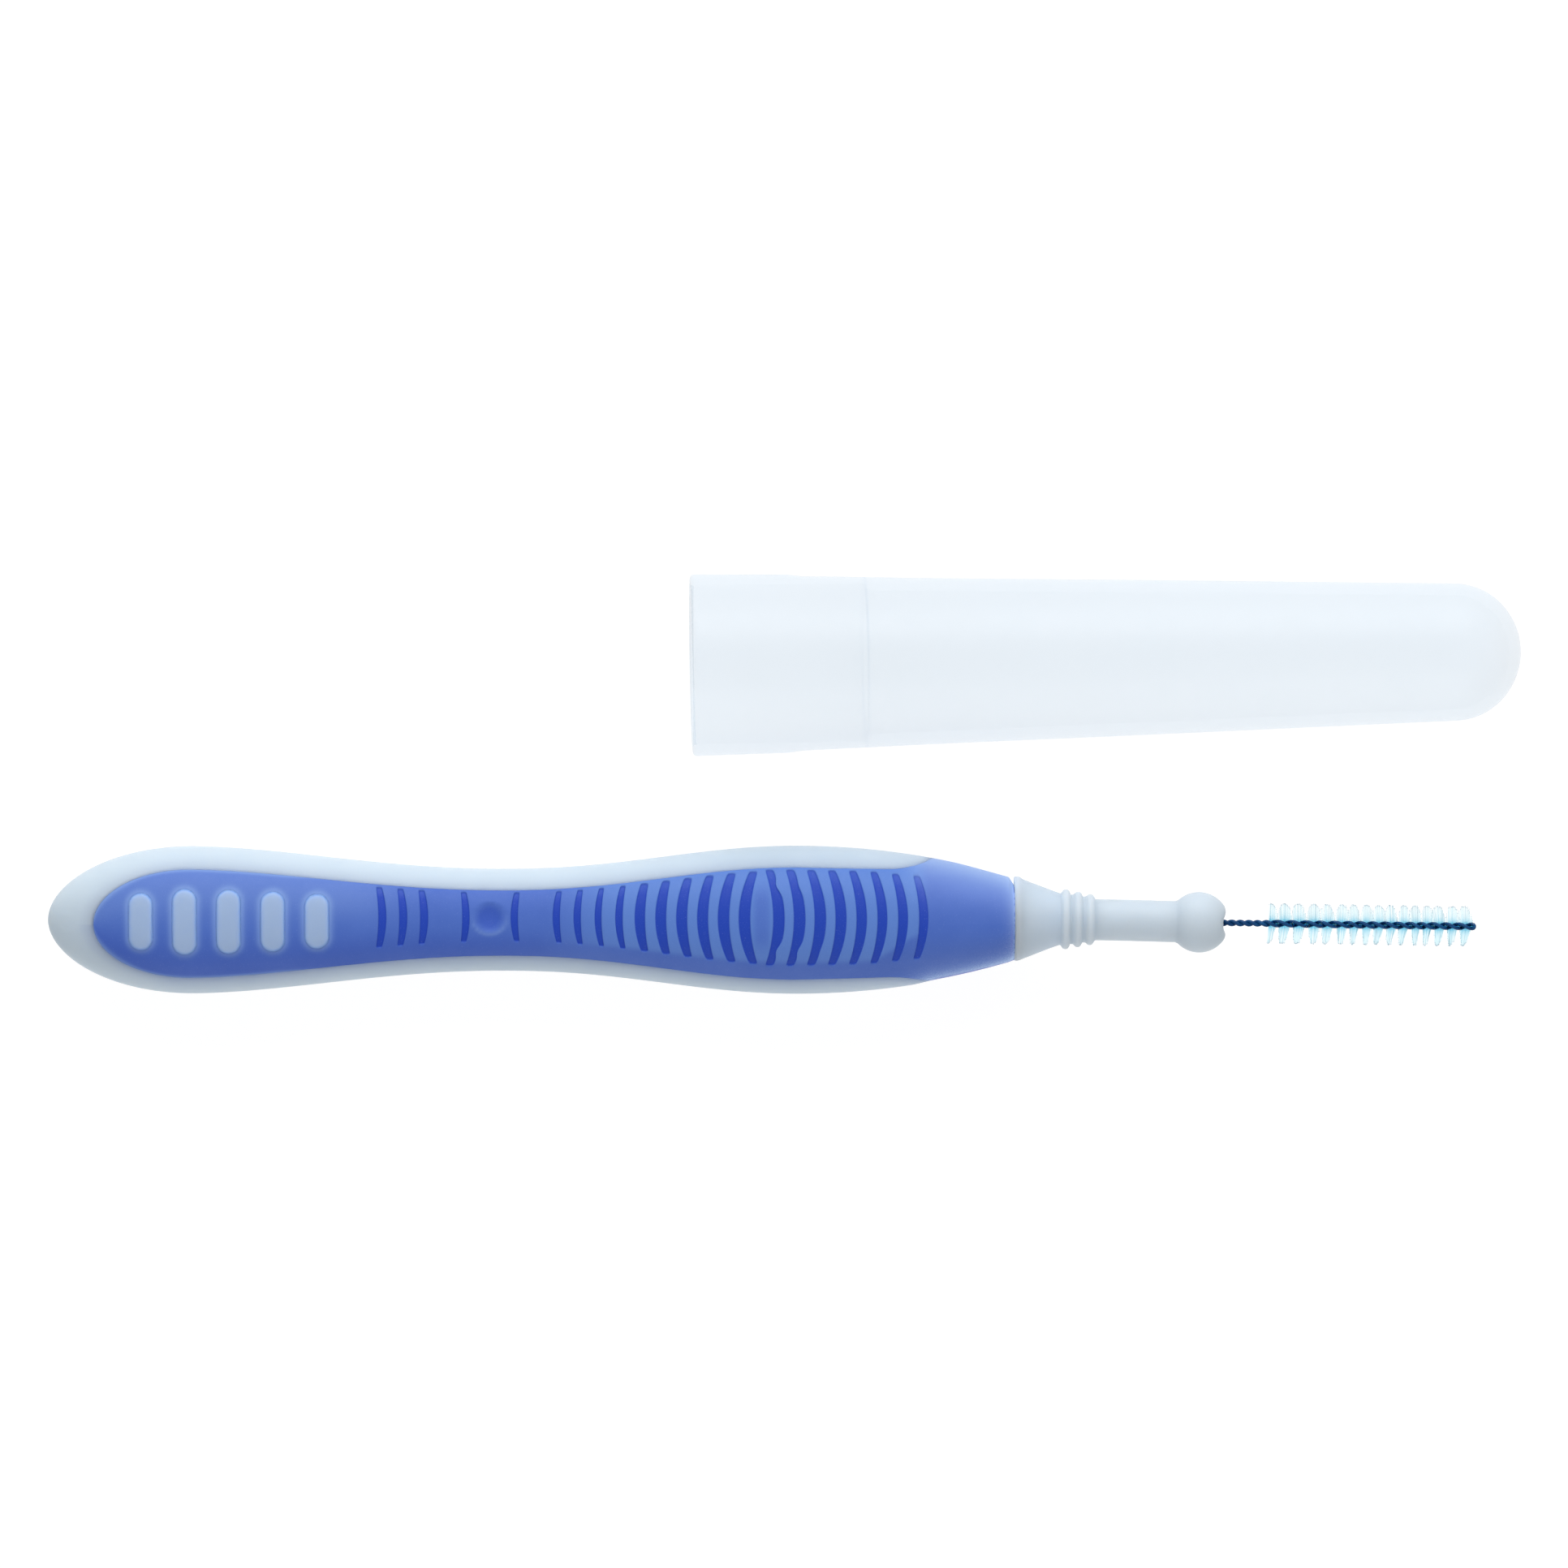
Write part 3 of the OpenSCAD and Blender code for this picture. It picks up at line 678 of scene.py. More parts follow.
# Where along the handle each tone begins to fade, and where it has faded
RIB_RISE_SPAN, RIB_NARROW_SPAN, RIB_FALL_SPAN = (30.5, 36), (50.5, 54), (53.4, 54.4)
EDGE_HALO_SPAN, EDGE_HALO_NARROW_SPAN = (14, 20), (3.5, 6.5)
TOP_LIGHT_SPAN, LOW_SHADE_SPAN = (18, 24), (28, 34)
# How strong each tone is, and how far it reaches
STUD_HALO_TONE, STUD_HALO_REACH = 0.85, 0.24
DIMPLE_LIGHT, DIMPLE_SHADE = 0.55, 0.5
PAD_HALO = 0.85
PAD_TOP_LIGHT, PAD_LOW_SHADE = 0.3, 0.3
# Painted light along the sleeve's lower, upper and front edges: its strength and reach
LOW_EDGE_LIGHT, LOW_EDGE_LIGHT_REACH = 1.25, 0.38
TOP_EDGE_LIGHT, TOP_EDGE_LIGHT_REACH = 0.56, 0.75
FRONT_EDGE_LIGHT, FRONT_EDGE_LIGHT_REACH = 0.42, 0.25
RIM_SPAN = (0.06, 0.13)
LINE_BACK, LINE_REACH = 0.19, 0.035


def rib_light(u, y, deep):
    """Where the ribs between the grooves are painted lighter than the rest of the pad: a painted reflection
    of the window.
    """
    lowest = mix(0.9, 0.35, smooth(*RIB_NARROW_SPAN, u)) * groove_half(u)
    across = y - GROOVE_SHIFT
    band = 1 - smooth(-0.15, 0.35, -across - lowest)
    grooved = smooth(*RIB_RISE_SPAN, u) * (1 - smooth(*RIB_FALL_SPAN, u))
    reach = np.abs(across) / groove_half(u)
    lens = np.exp(-((u - LENS_AT) / 0.5) ** 4) * (1 - smooth(0.35, 0.85, reach))
    return grooved * band * (1 - deep) * (1 - 0.8 * lens)


def pad_halo(u, y, across):
    """Where the rubber is paler: round the studs and at the pad's edge, with painted light by the dimple and
    towards +Y.
    """
    away = np.maximum(stud_distance(u, y), 0)
    halo = STUD_HALO_TONE * np.exp(-(away / STUD_HALO_REACH) ** 2) + DIMPLE_LIGHT * dimple_light(u, y)
    to_edge = np.hypot(np.abs(y) - pad_half(u), np.minimum(u - PAD_AT, 0))
    to_edge = to_edge + 0.3 * smooth(*EDGE_HALO_SPAN, u)
    reach = mix(0.3, 0.13, smooth(*EDGE_HALO_NARROW_SPAN, u))
    halo = halo + PAD_HALO * np.exp(-(to_edge / reach) ** 2)
    return halo + PAD_TOP_LIGHT * smooth(-0.2, 0.6, across) * (1 - smooth(*TOP_LIGHT_SPAN, u))


def pad_shade(u, y, deep, across, halo):
    """Painted shade: where the rubber is darker in the grooves and the dimple, and towards -Y, away from the
    light.
    """
    dimple = np.hypot(u - DIMPLE_AT, y - GROOVE_SHIFT)
    to_top = smooth(0.65, 1, (y - GROOVE_SHIFT) / groove_half(u))
    dark = smooth(0.2, 0.7, deep) * (1 - 0.3 * to_top) + DIMPLE_SHADE * (1 - smooth(0.5, 0.95, dimple))
    return dark + PAD_LOW_SHADE * smooth(0, 0.7, -across) * (1 - smooth(*LOW_SHADE_SPAN, u)) * (1 - halo)


def pad_colors(u, y, deep):
    """The shares of the six tones that the rubber's colour is mixed from, painted light and shade among them.
    """
    across = y / np.maximum(pad_half(u), TINY)
    halo = pad_halo(u, y, across)
    dark = pad_shade(u, y, deep, across, halo)
    to_side = half_w(u) - np.abs(y)
    sleeve = smooth(FLARE_AT, FLARE_AT + FLARE_L, u)
    # Painted light: a rim light along the sleeve's lower side, a highlight along its upper side, and light on
    # its front edge
    low_edge_light = LOW_EDGE_LIGHT * np.exp(-to_side / LOW_EDGE_LIGHT_REACH)
    top_edge_light = TOP_EDGE_LIGHT * np.exp(-to_side / TOP_EDGE_LIGHT_REACH)
    edge_light = np.where(y < 0, low_edge_light, top_edge_light) * sleeve
    to_front = HANDLE_L - u
    edge_light = np.clip(edge_light + FRONT_EDGE_LIGHT * np.exp(-to_front / FRONT_EDGE_LIGHT_REACH), 0, 0.95)
    grain_side = 1 - smooth(-0.8, 0.4, y)
    rim = (1 - smooth(*RIM_SPAN, to_side)) * sleeve * (y < 0)
    line = np.exp(-((HANDLE_L - LINE_BACK - u) / LINE_REACH) ** 2) * (1 - smooth(-1.5, 0.5, y))
    # In order: painted shade, the ribs' painted highlight, pale rubber with some painted light, painted light
    # along the sleeve's edges, the same through grain on the lower side, and a darker line on the sleeve
    return {"deep": np.clip(dark, 0, 1),
            "rib": rib_light(u, y, deep),
            "halo": np.clip(halo, 0, 1),
            "edge_light": edge_light * (1 - grain_side),
            "grainy_edge_light": edge_light * grain_side * (1 - rim),
            "rim": np.clip(rim + line, 0, 1)}


def grip_cover():
    """The upper pad and its mirror image, which meet along the sleeve's sides."""
    u, phi, deep = pad_grid()
    pad = len(deep)
    u, phi = with_sleeve_edge(u, phi)
    y = half_w(u) * np.sin(phi)
    deep = np.concatenate([deep, np.zeros((len(u) - pad, u.shape[1]))])
    depth = deep * GROOVE_D + edge_drop(u, phi) + dimple_depth(u, y)
    for i, (_, drop) in enumerate(SLEEVE_EDGE):
        to_top = np.maximum(np.sin(phi[pad + i]), 0)
        depth[pad + i] += drop * (EDGE_PLAIN + EDGE_TOP * to_top ** EDGE_POWER)
    colors = pad_colors(u, y, deep)
    keep = inner_columns(u.shape[1])
    rows, cols = u.shape
    patches = []
    values = {name: [] for name in colors}
    for lower in (False, True):
        outer = skin_point(u, facing(phi, lower), depth)
        under = skin_point(u[:, keep], facing(phi[:, keep], lower), COVER_T - BOND_GAP)
        patches.append((outer, grid_faces(rows, cols)))
        patches.append((under, grid_faces(rows, len(keep))))
        patches.append(bridge(outer[-1], under[-1], keep))
        for side in (0, -1):
            # In the sleeve the two pads are one, without walls between them
            wall = np.stack([outer[:, side], under[:, side]], axis=1)
            height = np.abs(wall[..., 2]).ravel()
            patches.append((wall, [face for face in grid_faces(rows, 2) if height[face].max() > 1e-6]))
        for name, data in colors.items():
            values[name] += [data.ravel(), np.zeros(under[..., 0].size), np.zeros(cols + len(keep)),
                             data[:, 0].repeat(2), data[:, -1].repeat(2)]
    return add_mesh("grip_cover_moulded", patches, "handle", ["grip_cover"], BLUE,
                    values=values)


def bridge(outer, inner, keep):
    """Faces between a row of all columns and a row of the kept ones."""
    faces = []
    for i in range(len(keep) - 1):
        fan = [keep[i] + k for k in range(keep[i + 1] - keep[i] + 1)]
        faces.append(fan + [len(outer) + i + 1, len(outer) + i])
    return np.concatenate([outer, inner]), faces


# Handle core
CORE_END = HANDLE_L + 0.1
STRIP_STEPS = (0, 0.03, 0.07, 0.13, 0.22, 0.36)
STRIP_STEP_SHARE = 0.8
STRIP_COLUMNS_FROM, STRIP_COLUMNS = 0.14, 13
STRIP_FULL_W = 1.2
TAIL_MARK_AT, TAIL_MARK_R, TAIL_MARK_W, TAIL_MARK_RISE = 1.3, 0.55, 0.1, 0.03
STRIP_HALO, STRIP_HALO_REACH = 0.6, 0.09
# Painted shade on the strips beside the pad: its reach, and its strength on the upper and lower strips
STRIP_SHADE_REACH = 0.45
STRIP_SHADE_TOP, STRIP_SHADE_LOW = 0.5, 0.85


def strip_shares(width, scale):
    """Shares of the way from the pad's edge to the handle's side, closest together near the edge."""
    near = [np.clip(step * scale / np.maximum(width, 1e-4), 0, 1) * STRIP_STEP_SHARE for step in STRIP_STEPS]
    rest = np.sin(np.pi / 2 * np.linspace(STRIP_COLUMNS_FROM, 1, STRIP_COLUMNS)[1:])
    return np.sort(np.stack(near + [np.maximum(share, near[-1]) for share in rest], axis=1), axis=1)


def and_back(values):
    """Values across the upper half of a strip, and then those of its lower half."""
    return np.concatenate([values, values[:, -2::-1]], axis=1)


def core_strip(edge_u, outer_u, side):
    """The white strip along one side, from the upper pad round to the lower one, with two tones: painted
    shade beside the pad, and a bluish line at the pad's edge.
    """
    trimmed = side < 0
    edge_y = side * pad_half(edge_u) * (1 - low_trim(edge_u) / half_w(edge_u) * trimmed)
    outer_y = side * (half_w(outer_u) - low_trim(outer_u) * trimmed)
    width = np.hypot(edge_u - outer_u, edge_y - outer_y)
    scale = np.clip(width / STRIP_FULL_W, 0, 1)
    shares = strip_shares(width, scale)
    u = mix(edge_u[:, None], outer_u[:, None], shares)
    y = mix(edge_y[:, None], outer_y[:, None], shares)
    ratio = np.clip(np.abs(y) / np.maximum(half_w(u) - low_trim(u) * trimmed, 1e-4), 0, 1)
    ratio[:, -1] = 1
    height = np.sqrt(1 - ratio ** 2)
    distance = shares * width[:, None]
    drop = STRIP_EDGE_DROP * scale[:, None] * (1 - smooth(0, STRIP_EDGE_REACH, distance))
    to_ring = np.hypot(u - TAIL_MARK_AT, y) - TAIL_MARK_R
    rise = TAIL_MARK_RISE * np.exp(-(to_ring / TAIL_MARK_W) ** 2)
    upper = np.stack([TAIL_X + u, AXIS_Y + y, (half_t(u) - drop + rise) * height], axis=-1)
    lower = np.stack([TAIL_X + u, AXIS_Y + y, -(half_t(u) - drop) * height], axis=-1)
    # Painted shade beside the pad, stronger on the lower strip, which faces away from the light
    strip_shade = np.exp(-distance / STRIP_SHADE_REACH) * (STRIP_SHADE_LOW if trimmed else STRIP_SHADE_TOP)
    halo = STRIP_HALO * np.exp(-(distance / STRIP_HALO_REACH) ** 2)
    return np.concatenate([upper, lower[:, -2::-1]], axis=1), {"strip_shade": and_back(strip_shade), "halo": and_back(halo)}


def handle_core():
    """The white strips along both sides, and the seat under the cover that joins them."""
    u, phi, _ = pad_grid()
    edge_u = u[:, -1]
    outer_u = edge_u.copy()
    outer_u[:TAIL_ROWS] = TAIL_BULGE_AT * tail_shares()
    shown = edge_u <= FLARE_AT + FLARE_L + 0.25
    edge_u, outer_u = edge_u[shown], outer_u[shown]
    patches = []
    values = {"strip_shade": [], "halo": []}
    for side in (1, -1):
        strip, tones = core_strip(edge_u, outer_u, side)
        patches.append((strip, grid_faces(*strip.shape[:2])))
        for column, lower in ((0, False), (-1, True)):
            seat = skin_point(edge_u, facing(side * edge_angle(edge_u), lower), COVER_T)
            patches.append((np.stack([strip[:, column], seat], axis=1), grid_faces(len(seat), 2)))
        for name, data in tones.items():
            values[name] += [data.ravel()] + [np.repeat(data[:, 0], 2)] * 2
    keep = inner_columns(u.shape[1])
    seat_u = np.concatenate([u[:, keep], np.full((1, len(keep)), CORE_END)])
    seat_phi = np.concatenate([phi[:, keep], column_angles(np.array([HANDLE_L]))[:, keep]])
    centre = np.array([[TAIL_X + CORE_END, AXIS_Y, 0.0]])
    fan = [[i, i + 1, len(keep)] for i in range(len(keep) - 1)]
    for lower in (False, True):
        seat = skin_point(seat_u, facing(seat_phi, lower), COVER_T)
        patches += [(seat, grid_faces(*seat_u.shape)), (np.concatenate([seat[-1], centre]), fan)]
        for parts in values.values():
            parts.append(np.zeros(seat_u.size + len(keep) + 1))
    return add_mesh("handle_core_moulded", patches, "handle", ["handle_core"], WHITE,
                    values=values)


# Each ring of a stud, as its inset from the edge and its rise over the skin
STUD_EDGE = ((-0.05, -1.0), (-0.05, -0.02), (-0.01, 0.01), (0.02, 0.04), (0.05, 0.075), (0.1, 0.11),
             (0.17, 0.13), (0.27, 0.14), (0.42, 0.14))
STUD_HALO = (1, 1, 1, 1, 0.8, 0.45, 0.2, 0.05, 0)
STUD_ARC, STUD_SIDE = 24, 6
LOWER_RISE_SHARE = 0.14


def stud_outline():
    """Cosine, sine and share of the reach for each point round a stud: two half circles and two sides."""
    half = np.linspace(0, np.pi, STUD_ARC + 1)
    side = np.linspace(1, -1, STUD_SIDE + 1)[1:-1]
    turns = np.concatenate([half, 0 * side + np.pi, half + np.pi, 0 * side])
    shares = np.concatenate([0 * half + 1, side, 0 * half - 1, -side])
    return np.cos(turns), np.sin(turns), shares


def studs():
    """White posts with round ends and soft edges, which stand a little out of both pads."""
    patches = []
    cosines, sines, shares = stud_outline()
    count = len(shares)
    for lower in (False, True):
        for at, reach in stud_places():
            rings = []
            for inset, rise in STUD_EDGE:
                r = STUD_W / 2 - inset
                x = at + r * cosines
                y = STUD_SHIFT + r * sines + reach * shares
                skin = half_t(x) * np.sqrt(1 - (y / half_w(x)) ** 2)
                if lower:
                    lifted = skin + (rise if rise < 0 else rise * LOWER_RISE_SHARE)
                    z = -np.minimum(lifted, BULGE_T / 2)
                else:
                    z = skin + rise
                rings.append(np.stack([TAIL_X + x, AXIS_Y + y, z], axis=-1))
            faces = grid_faces(len(rings), count, wrap=True)
            faces.append(list(range(count)))
            faces += stud_top((len(rings) - 1) * count, count)
            patches.append((np.stack(rings), faces))
    halo = [np.repeat(STUD_HALO, count)] * len(patches)
    return add_mesh("tail_studs", patches, "handle", [], STUD_WHITE, values={"halo": halo})


def stud_top(first, count):
    """Faces across a stud's last ring, between the points that mirror each other."""
    faces = []
    for i in range(STUD_ARC // 2, STUD_ARC // 2 + count // 2):
        face = [i, i + 1, STUD_ARC - i - 1, STUD_ARC - i]
        faces.append([first + k for k in dict.fromkeys(n % count for n in face)])
    return faces


# The handle's pieces are made round the axis at height 0, and are raised to lie on their bulges
for made in (grip_cover(), handle_core(), studs()):
    made.data.transform(Matrix.Translation((0, 0, AXIS_Z * MM)))


# Round pieces
def lathe(profile, sides):
    """A surface of revolution round +X from points of radius and place along it."""
    turns = np.linspace(0, 2 * np.pi, sides, endpoint=False)
    profile = np.array(profile, float)
    x = profile[:, 1:2] + 0 * turns
    y = profile[:, 0:1] * np.sin(turns)
    z = profile[:, 0:1] * np.cos(turns)
    return np.stack([x, y, z], axis=-1), grid_faces(len(profile), sides, wrap=True)


def circle(radius, side, up, sides):
    """Points of a circle in the plane of two directions."""
    turns = np.linspace(0, 2 * np.pi, sides, endpoint=False)[:, None]
    return radius * (np.cos(turns) * side + np.sin(turns) * up)


def arc(along_x, across, r, a, b, n):
    """Points of an arc as radius and place along, with its angles in degrees from straight outwards."""
    angles = np.radians(np.linspace(a, b, n))
    return [(across + r * math.cos(t), along_x + r * math.sin(t)) for t in angles]


def from_seat(points):
    """From the neck's own place, x forward from its seat, to the leaning neck's place in the object."""
    lean = math.radians(NECK_LEAN)
    points = np.asarray(points, float)
    x = SEAT_X + points[..., 0] * math.cos(lean) + points[..., 1] * math.sin(lean)
    y = AXIS_Y - points[..., 0] * math.sin(lean) + points[..., 1] * math.cos(lean)
    return np.stack([x, y, AXIS_Z + points[..., 2]], axis=-1)


NECK_SIDES = 96
COLLAR_ROOM_R = 1.95
LIP_BACK = 0.145
LEAN_SPAN = (-LIP_BACK, 0.4)
NECK_RISE, NECK_RISE_SPAN = 0.075, (5, NOSE_L)
SADDLE_SPAN = (0.15, NOSE_RIM_R)
# Painted light on the lip's back edge, where the seam is shaded, and a lighter tone over the cone
LIP_LIGHT, LIP_LIGHT_REACH = 0.8, 0.12
CONE_LIGHT, CONE_LIGHT_SPAN = 0.17, (CONE_L - 0.4, CONE_L + 0.6)
CONE_LOW_SHARE, CONE_LOW_IN, CONE_LOW_OUT = 0.033, (0.1, 0.4), (0.4, 2.4)
RIB_FEET = (CONE_END_W / 2, 1.53, 1.42, TUBE_W / 2 + 0.04)
RIB_ARC, RIB_ARC_POINTS = 62, 11
NOSE_BORE_R = 0.24


def neck_profile():
    """The neck from the plug's rear end round its outside to the bore of its nose."""
    lip = LIP_W / 2
    plug = PLUG_W / 2
    profile = [(0, -PLUG_L), (plug - 0.1, -PLUG_L), (plug, -PLUG_L + 0.1), (plug, 0), (COLLAR_ROOM_R, 0)]
    profile += [(COLLAR_ROOM_R, -LIP_BACK), (lip - 0.05, -LIP_BACK), (lip - 0.01, -0.12), (lip, -0.06)]
    profile += [(lip, 0.07), (lip - 0.03, 0.16), (lip - 0.09, 0.25), (lip - 0.15, 0.33)]
    for s in np.linspace(0, 1, 9):
        profile.append((mix(CONE_FROM_W, CONE_END_W, s) / 2, mix(CONE_FROM, CONE_L, s)))
    r = RIB_T / 2
    for i in range(RIB_N):
        at = CONE_L + 0.75 * RIB_T + i * RIB_PITCH
        profile.append((RIB_FEET[i], at - r - 0.05))
        profile += arc(at, (RIB_W - i * RIB_DROP) / 2 - r, r, -RIB_ARC, RIB_ARC, RIB_ARC_POINTS)
        profile.append((RIB_FEET[i + 1], at + r + 0.05))
    touch = math.sqrt((BULB_W / 2) ** 2 - (TUBE_W / 2) ** 2)
    profile += [(TUBE_W / 2, x) for x in np.linspace(at + r + 0.1, BULB_AT - touch - 0.12, 6)]
    profile.append((TUBE_W / 2 + 0.03, BULB_AT - touch - 0.03))
    start = math.degrees(math.atan2(-touch + 0.05, TUBE_W / 2))
    stop = math.degrees(math.asin((NOSE_L - BULB_AT - 0.1) / (BULB_W / 2)))
    profile += arc(BULB_AT, 0, BULB_W / 2, start + 2, stop, 26)
    rim = NOSE_RIM_R
    nose = [(rim + 0.2, 0.045), (rim + 0.1, 0.012), (rim, 0), (rim - 0.08, 0.01), (rim - 0.18, 0.03)]
    nose += [(0.45, 0.035), (0.34, 0.05), (0.26, 0.12), (NOSE_BORE_R, 0.5)]
    nose += [(NOSE_BORE_R, WIRE_ROOT_L), (0, WIRE_ROOT_L)]
    return profile + [(radius, NOSE_L - back) for radius, back in nose]


def neck():
    """The neck, whose lip lies flat on the sleeve's end, so that the lean begins just in front of it."""
    points, faces = lathe(neck_profile(), NECK_SIDES)
    x, y = points[..., 0], points[..., 1]
    saddle = 1 - smooth(*SADDLE_SPAN, np.abs(y))
    foot = smooth(*CONE_LOW_IN, x) * (1 - smooth(*CONE_LOW_OUT, x)) * (y < 0)
    points[..., 1] = y * (1 + CONE_LOW_SHARE * foot) + NECK_RISE * (1 - smooth(*NECK_RISE_SPAN, x))
    points[..., 0] = x - NOSE_HOLLOW_D * saddle * smooth(NOSE_L - 0.4, NOSE_L - 0.05, x)
    straight = points + np.array([SEAT_X, AXIS_Y, AXIS_Z])
    placed = mix(straight, from_seat(points), smooth(*LEAN_SPAN, points[..., :1]))
    # Painted light on the lip's back edge, which lifts the seam's shade, and a lighter tone over the cone
    halo = LIP_LIGHT * np.exp(-np.maximum(x + LIP_BACK, 0) / LIP_LIGHT_REACH)
    halo = halo + CONE_LIGHT * (1 - smooth(*CONE_LIGHT_SPAN, x))
    add_mesh("neck_moulded", [(placed, faces)], "handle", ["neck"], NECK_WHITE,
             values={"halo": halo})


neck()


# Wire
WIRE_STEP = 0.04
WIRE_SIDES = 12
LOOP_POINTS = 13


def fan_places():
    return FIRST_FAN + np.concatenate([[0], np.cumsum(FAN_STEPS)])


def twist_angles(xs):
    """The angle of the twisted pair at each place: half a turn from fan to fan."""
    fans = fan_places()
    start = FIRST_FAN - FIRST_FAN_TURN * BARE_HALF_TURN * 3
    places = np.concatenate([[start], fans, [LOOP_FROM, LOOP_FROM + 1]])
    turns = np.concatenate([[-FIRST_FAN_TURN * 3], np.arange(len(fans)), [len(fans) - 0.5] * 2])
    near = np.arange(-12, 13) / 60
    return np.pi * np.mean([np.interp(xs + d, places, FIRST_FAN_TURN + turns) for d in near], axis=0)


def wire_line():
    """Centre line of the folded wire: out along one side, round the loop and back along the other."""
    loop_r = (WIRE_W + PINCH_T) / 2
    xs = np.arange(NOSE_L - WIRE_ROOT_L, LOOP_FROM, WIRE_STEP)
    radius = mix(BARE_R, loop_r, smooth(BRISTLES_FROM - 0.3, BRISTLES_FROM + 0.2, xs))
    angles = twist_angles(xs)
    out = np.stack([xs, radius * np.cos(angles), radius * np.sin(angles)], axis=-1)
    back = out[::-1] * np.array([1, -1, -1])
    bend = np.radians(np.linspace(12, 168, LOOP_POINTS))
    loop = np.stack([xs[-1] + loop_r * np.sin(bend), loop_r * np.cos(bend) * math.cos(angles[-1]),
                     loop_r * np.cos(bend) * math.sin(angles[-1])], axis=-1)
    return np.concatenate([out, loop, back])


def tube(line, radius, sides):
    """A round tube along a line, with frames carried along it so that it doesn't twist."""
    heads = np.gradient(line, axis=0)
    heads /= np.linalg.norm(heads, axis=1)[:, None]
    side = np.cross(heads[0], [0.3, 0.5, 0.8])
    rings = []
    for point, head in zip(line, heads):
        side = side - np.dot(side, head) * head
        side /= np.linalg.norm(side)
        rings.append(point + circle(radius, side, np.cross(head, side), sides))
    faces = grid_faces(len(rings), sides, wrap=True)
    faces.append(list(range(sides))[::-1])
    faces.append([(len(rings) - 1) * sides + i for i in range(sides)])
    return np.stack(rings), faces


def wire():
    """The twisted wire, turned with the neck's lean."""
    points, faces = tube(wire_line(), WIRE_W / 2, WIRE_SIDES)
    patches = [(from_seat(points), faces)]
    piece = add_mesh("twisted_wire", patches, None, ["wire_root", "wire_head"], COATED)
    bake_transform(piece)


wire()


# Bristles
BRISTLE_SIDES = 5
BRISTLE_STATIONS = (0.0, 0.12, 0.26, 0.45, 0.7, 0.95, 0.98, 1.0)
ROOT_TONE = (1.0, 0.75, 0.3, 0.08, 0.0, 0.0, 0.0, 0.0)
END_SHADE = 0.6
LINE_SHADE, LINED_SHARE = 0.2, 0.09
FAN_LEAN = 0.1
# How far fans and filaments stray, as lean, place, angle and length
TILT_SPREAD, PLACE_SPREAD, TURN_SPREAD, LEAN_SPREAD, LENGTH_SPREAD = 0.04, 0.3, 0.08, 0.02, 0.035


def fan_angle(x):
    """The filaments' angle: it winds with the wires, more slowly in a fan's middle than between fans."""
    turn = float(twist_angles(np.array([x]))[0]) / np.pi + 0.5
    off = turn - round(turn)
    return np.pi * (round(turn) + off * mix(FAN_STRAIGHT, 1, (2 * off) ** 2))


def bristles():
    """Filaments pinched between the two wires, so that they wind with them in two rows."""
    rng = np.random.default_rng(SEED)
    patches = []
    tones = []
    shades = []
    fan_tilt = rng.normal(0, TILT_SPREAD, (len(FAN_STEPS) + 2, 2))
    for i in range(BRISTLE_N):
        stray = rng.uniform(-PLACE_SPREAD, PLACE_SPREAD)
        x = BRISTLES_FROM + 0.05 + BRISTLE_L * (i + 0.5 + stray) / BRISTLE_N
        angle = fan_angle(x)
        fan = int(np.argmin(np.abs(fan_places() - x)))
        for way in (0, 1):
            a = angle + way * np.pi + rng.normal(0, TURN_SPREAD)
            lean = fan_tilt[fan, way] + rng.normal(0, LEAN_SPREAD) + FAN_LEAN * min(math.cos(a), 0)
            length = BRISTLE_R - abs(rng.normal(0, LENGTH_SPREAD))
            head = np.array([lean, math.cos(a), math.sin(a)])
            head /= np.linalg.norm(head)
            side = np.cross(head, [1, 0, 0])
            side /= np.linalg.norm(side)
            ring = circle(BRISTLE_T / 2, side, np.cross(head, side), BRISTLE_SIDES)
            base = np.array([x, 0, 0])
            grid = [base + s * length * head + (0.5 if s == 1 else 1) * ring for s in BRISTLE_STATIONS]
            faces = grid_faces(len(grid), BRISTLE_SIDES, wrap=True)
            faces.append([(len(grid) - 1) * BRISTLE_SIDES + k for k in range(BRISTLE_SIDES)])
            patches.append((from_seat(grid), faces))
            tones.append(np.repeat(ROOT_TONE, BRISTLE_SIDES))
            lined = LINE_SHADE if rng.uniform() < LINED_SHARE else 0
            shades.append(np.repeat([lined] * (len(BRISTLE_STATIONS) - 2) + [END_SHADE] * 2, BRISTLE_SIDES))
    add_mesh("bristle_tufts", patches, "brush_head", ["bristles"], NYLON, weld=False,
             values={"root": tones, "shade": shades})


bristles()


# Cap
CAP_SIDES = 128
CAP_LINE_W = 0.07
DOME_AT = CAP_L - DOME_L


def cap_matrix():
    """From a shape drawn forward round +X, with its mouth at 0, to the place of the cap, which lies on
    its collar's end and its dome's foot."""
    pitch = math.atan((COLLAR_END_R - DOME_W / 2) / (DOME_AT - COLLAR_L))
    lift = COLLAR_L * math.sin(pitch) + COLLAR_END_R * math.cos(pitch)
    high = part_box("cap")[1]
    yaw = math.radians(CAP_YAW)
    mouth_y = high.y / MM - CAP_BELOW - COLLAR_L * math.sin(yaw) - COLLAR_END_R * math.cos(yaw)
    place = Matrix.Translation((CAP_MOUTH_X * MM, mouth_y * MM, lift * MM))
    return place @ Matrix.Rotation(yaw, 4, "Z") @ Matrix.Rotation(pitch, 4, "Y")


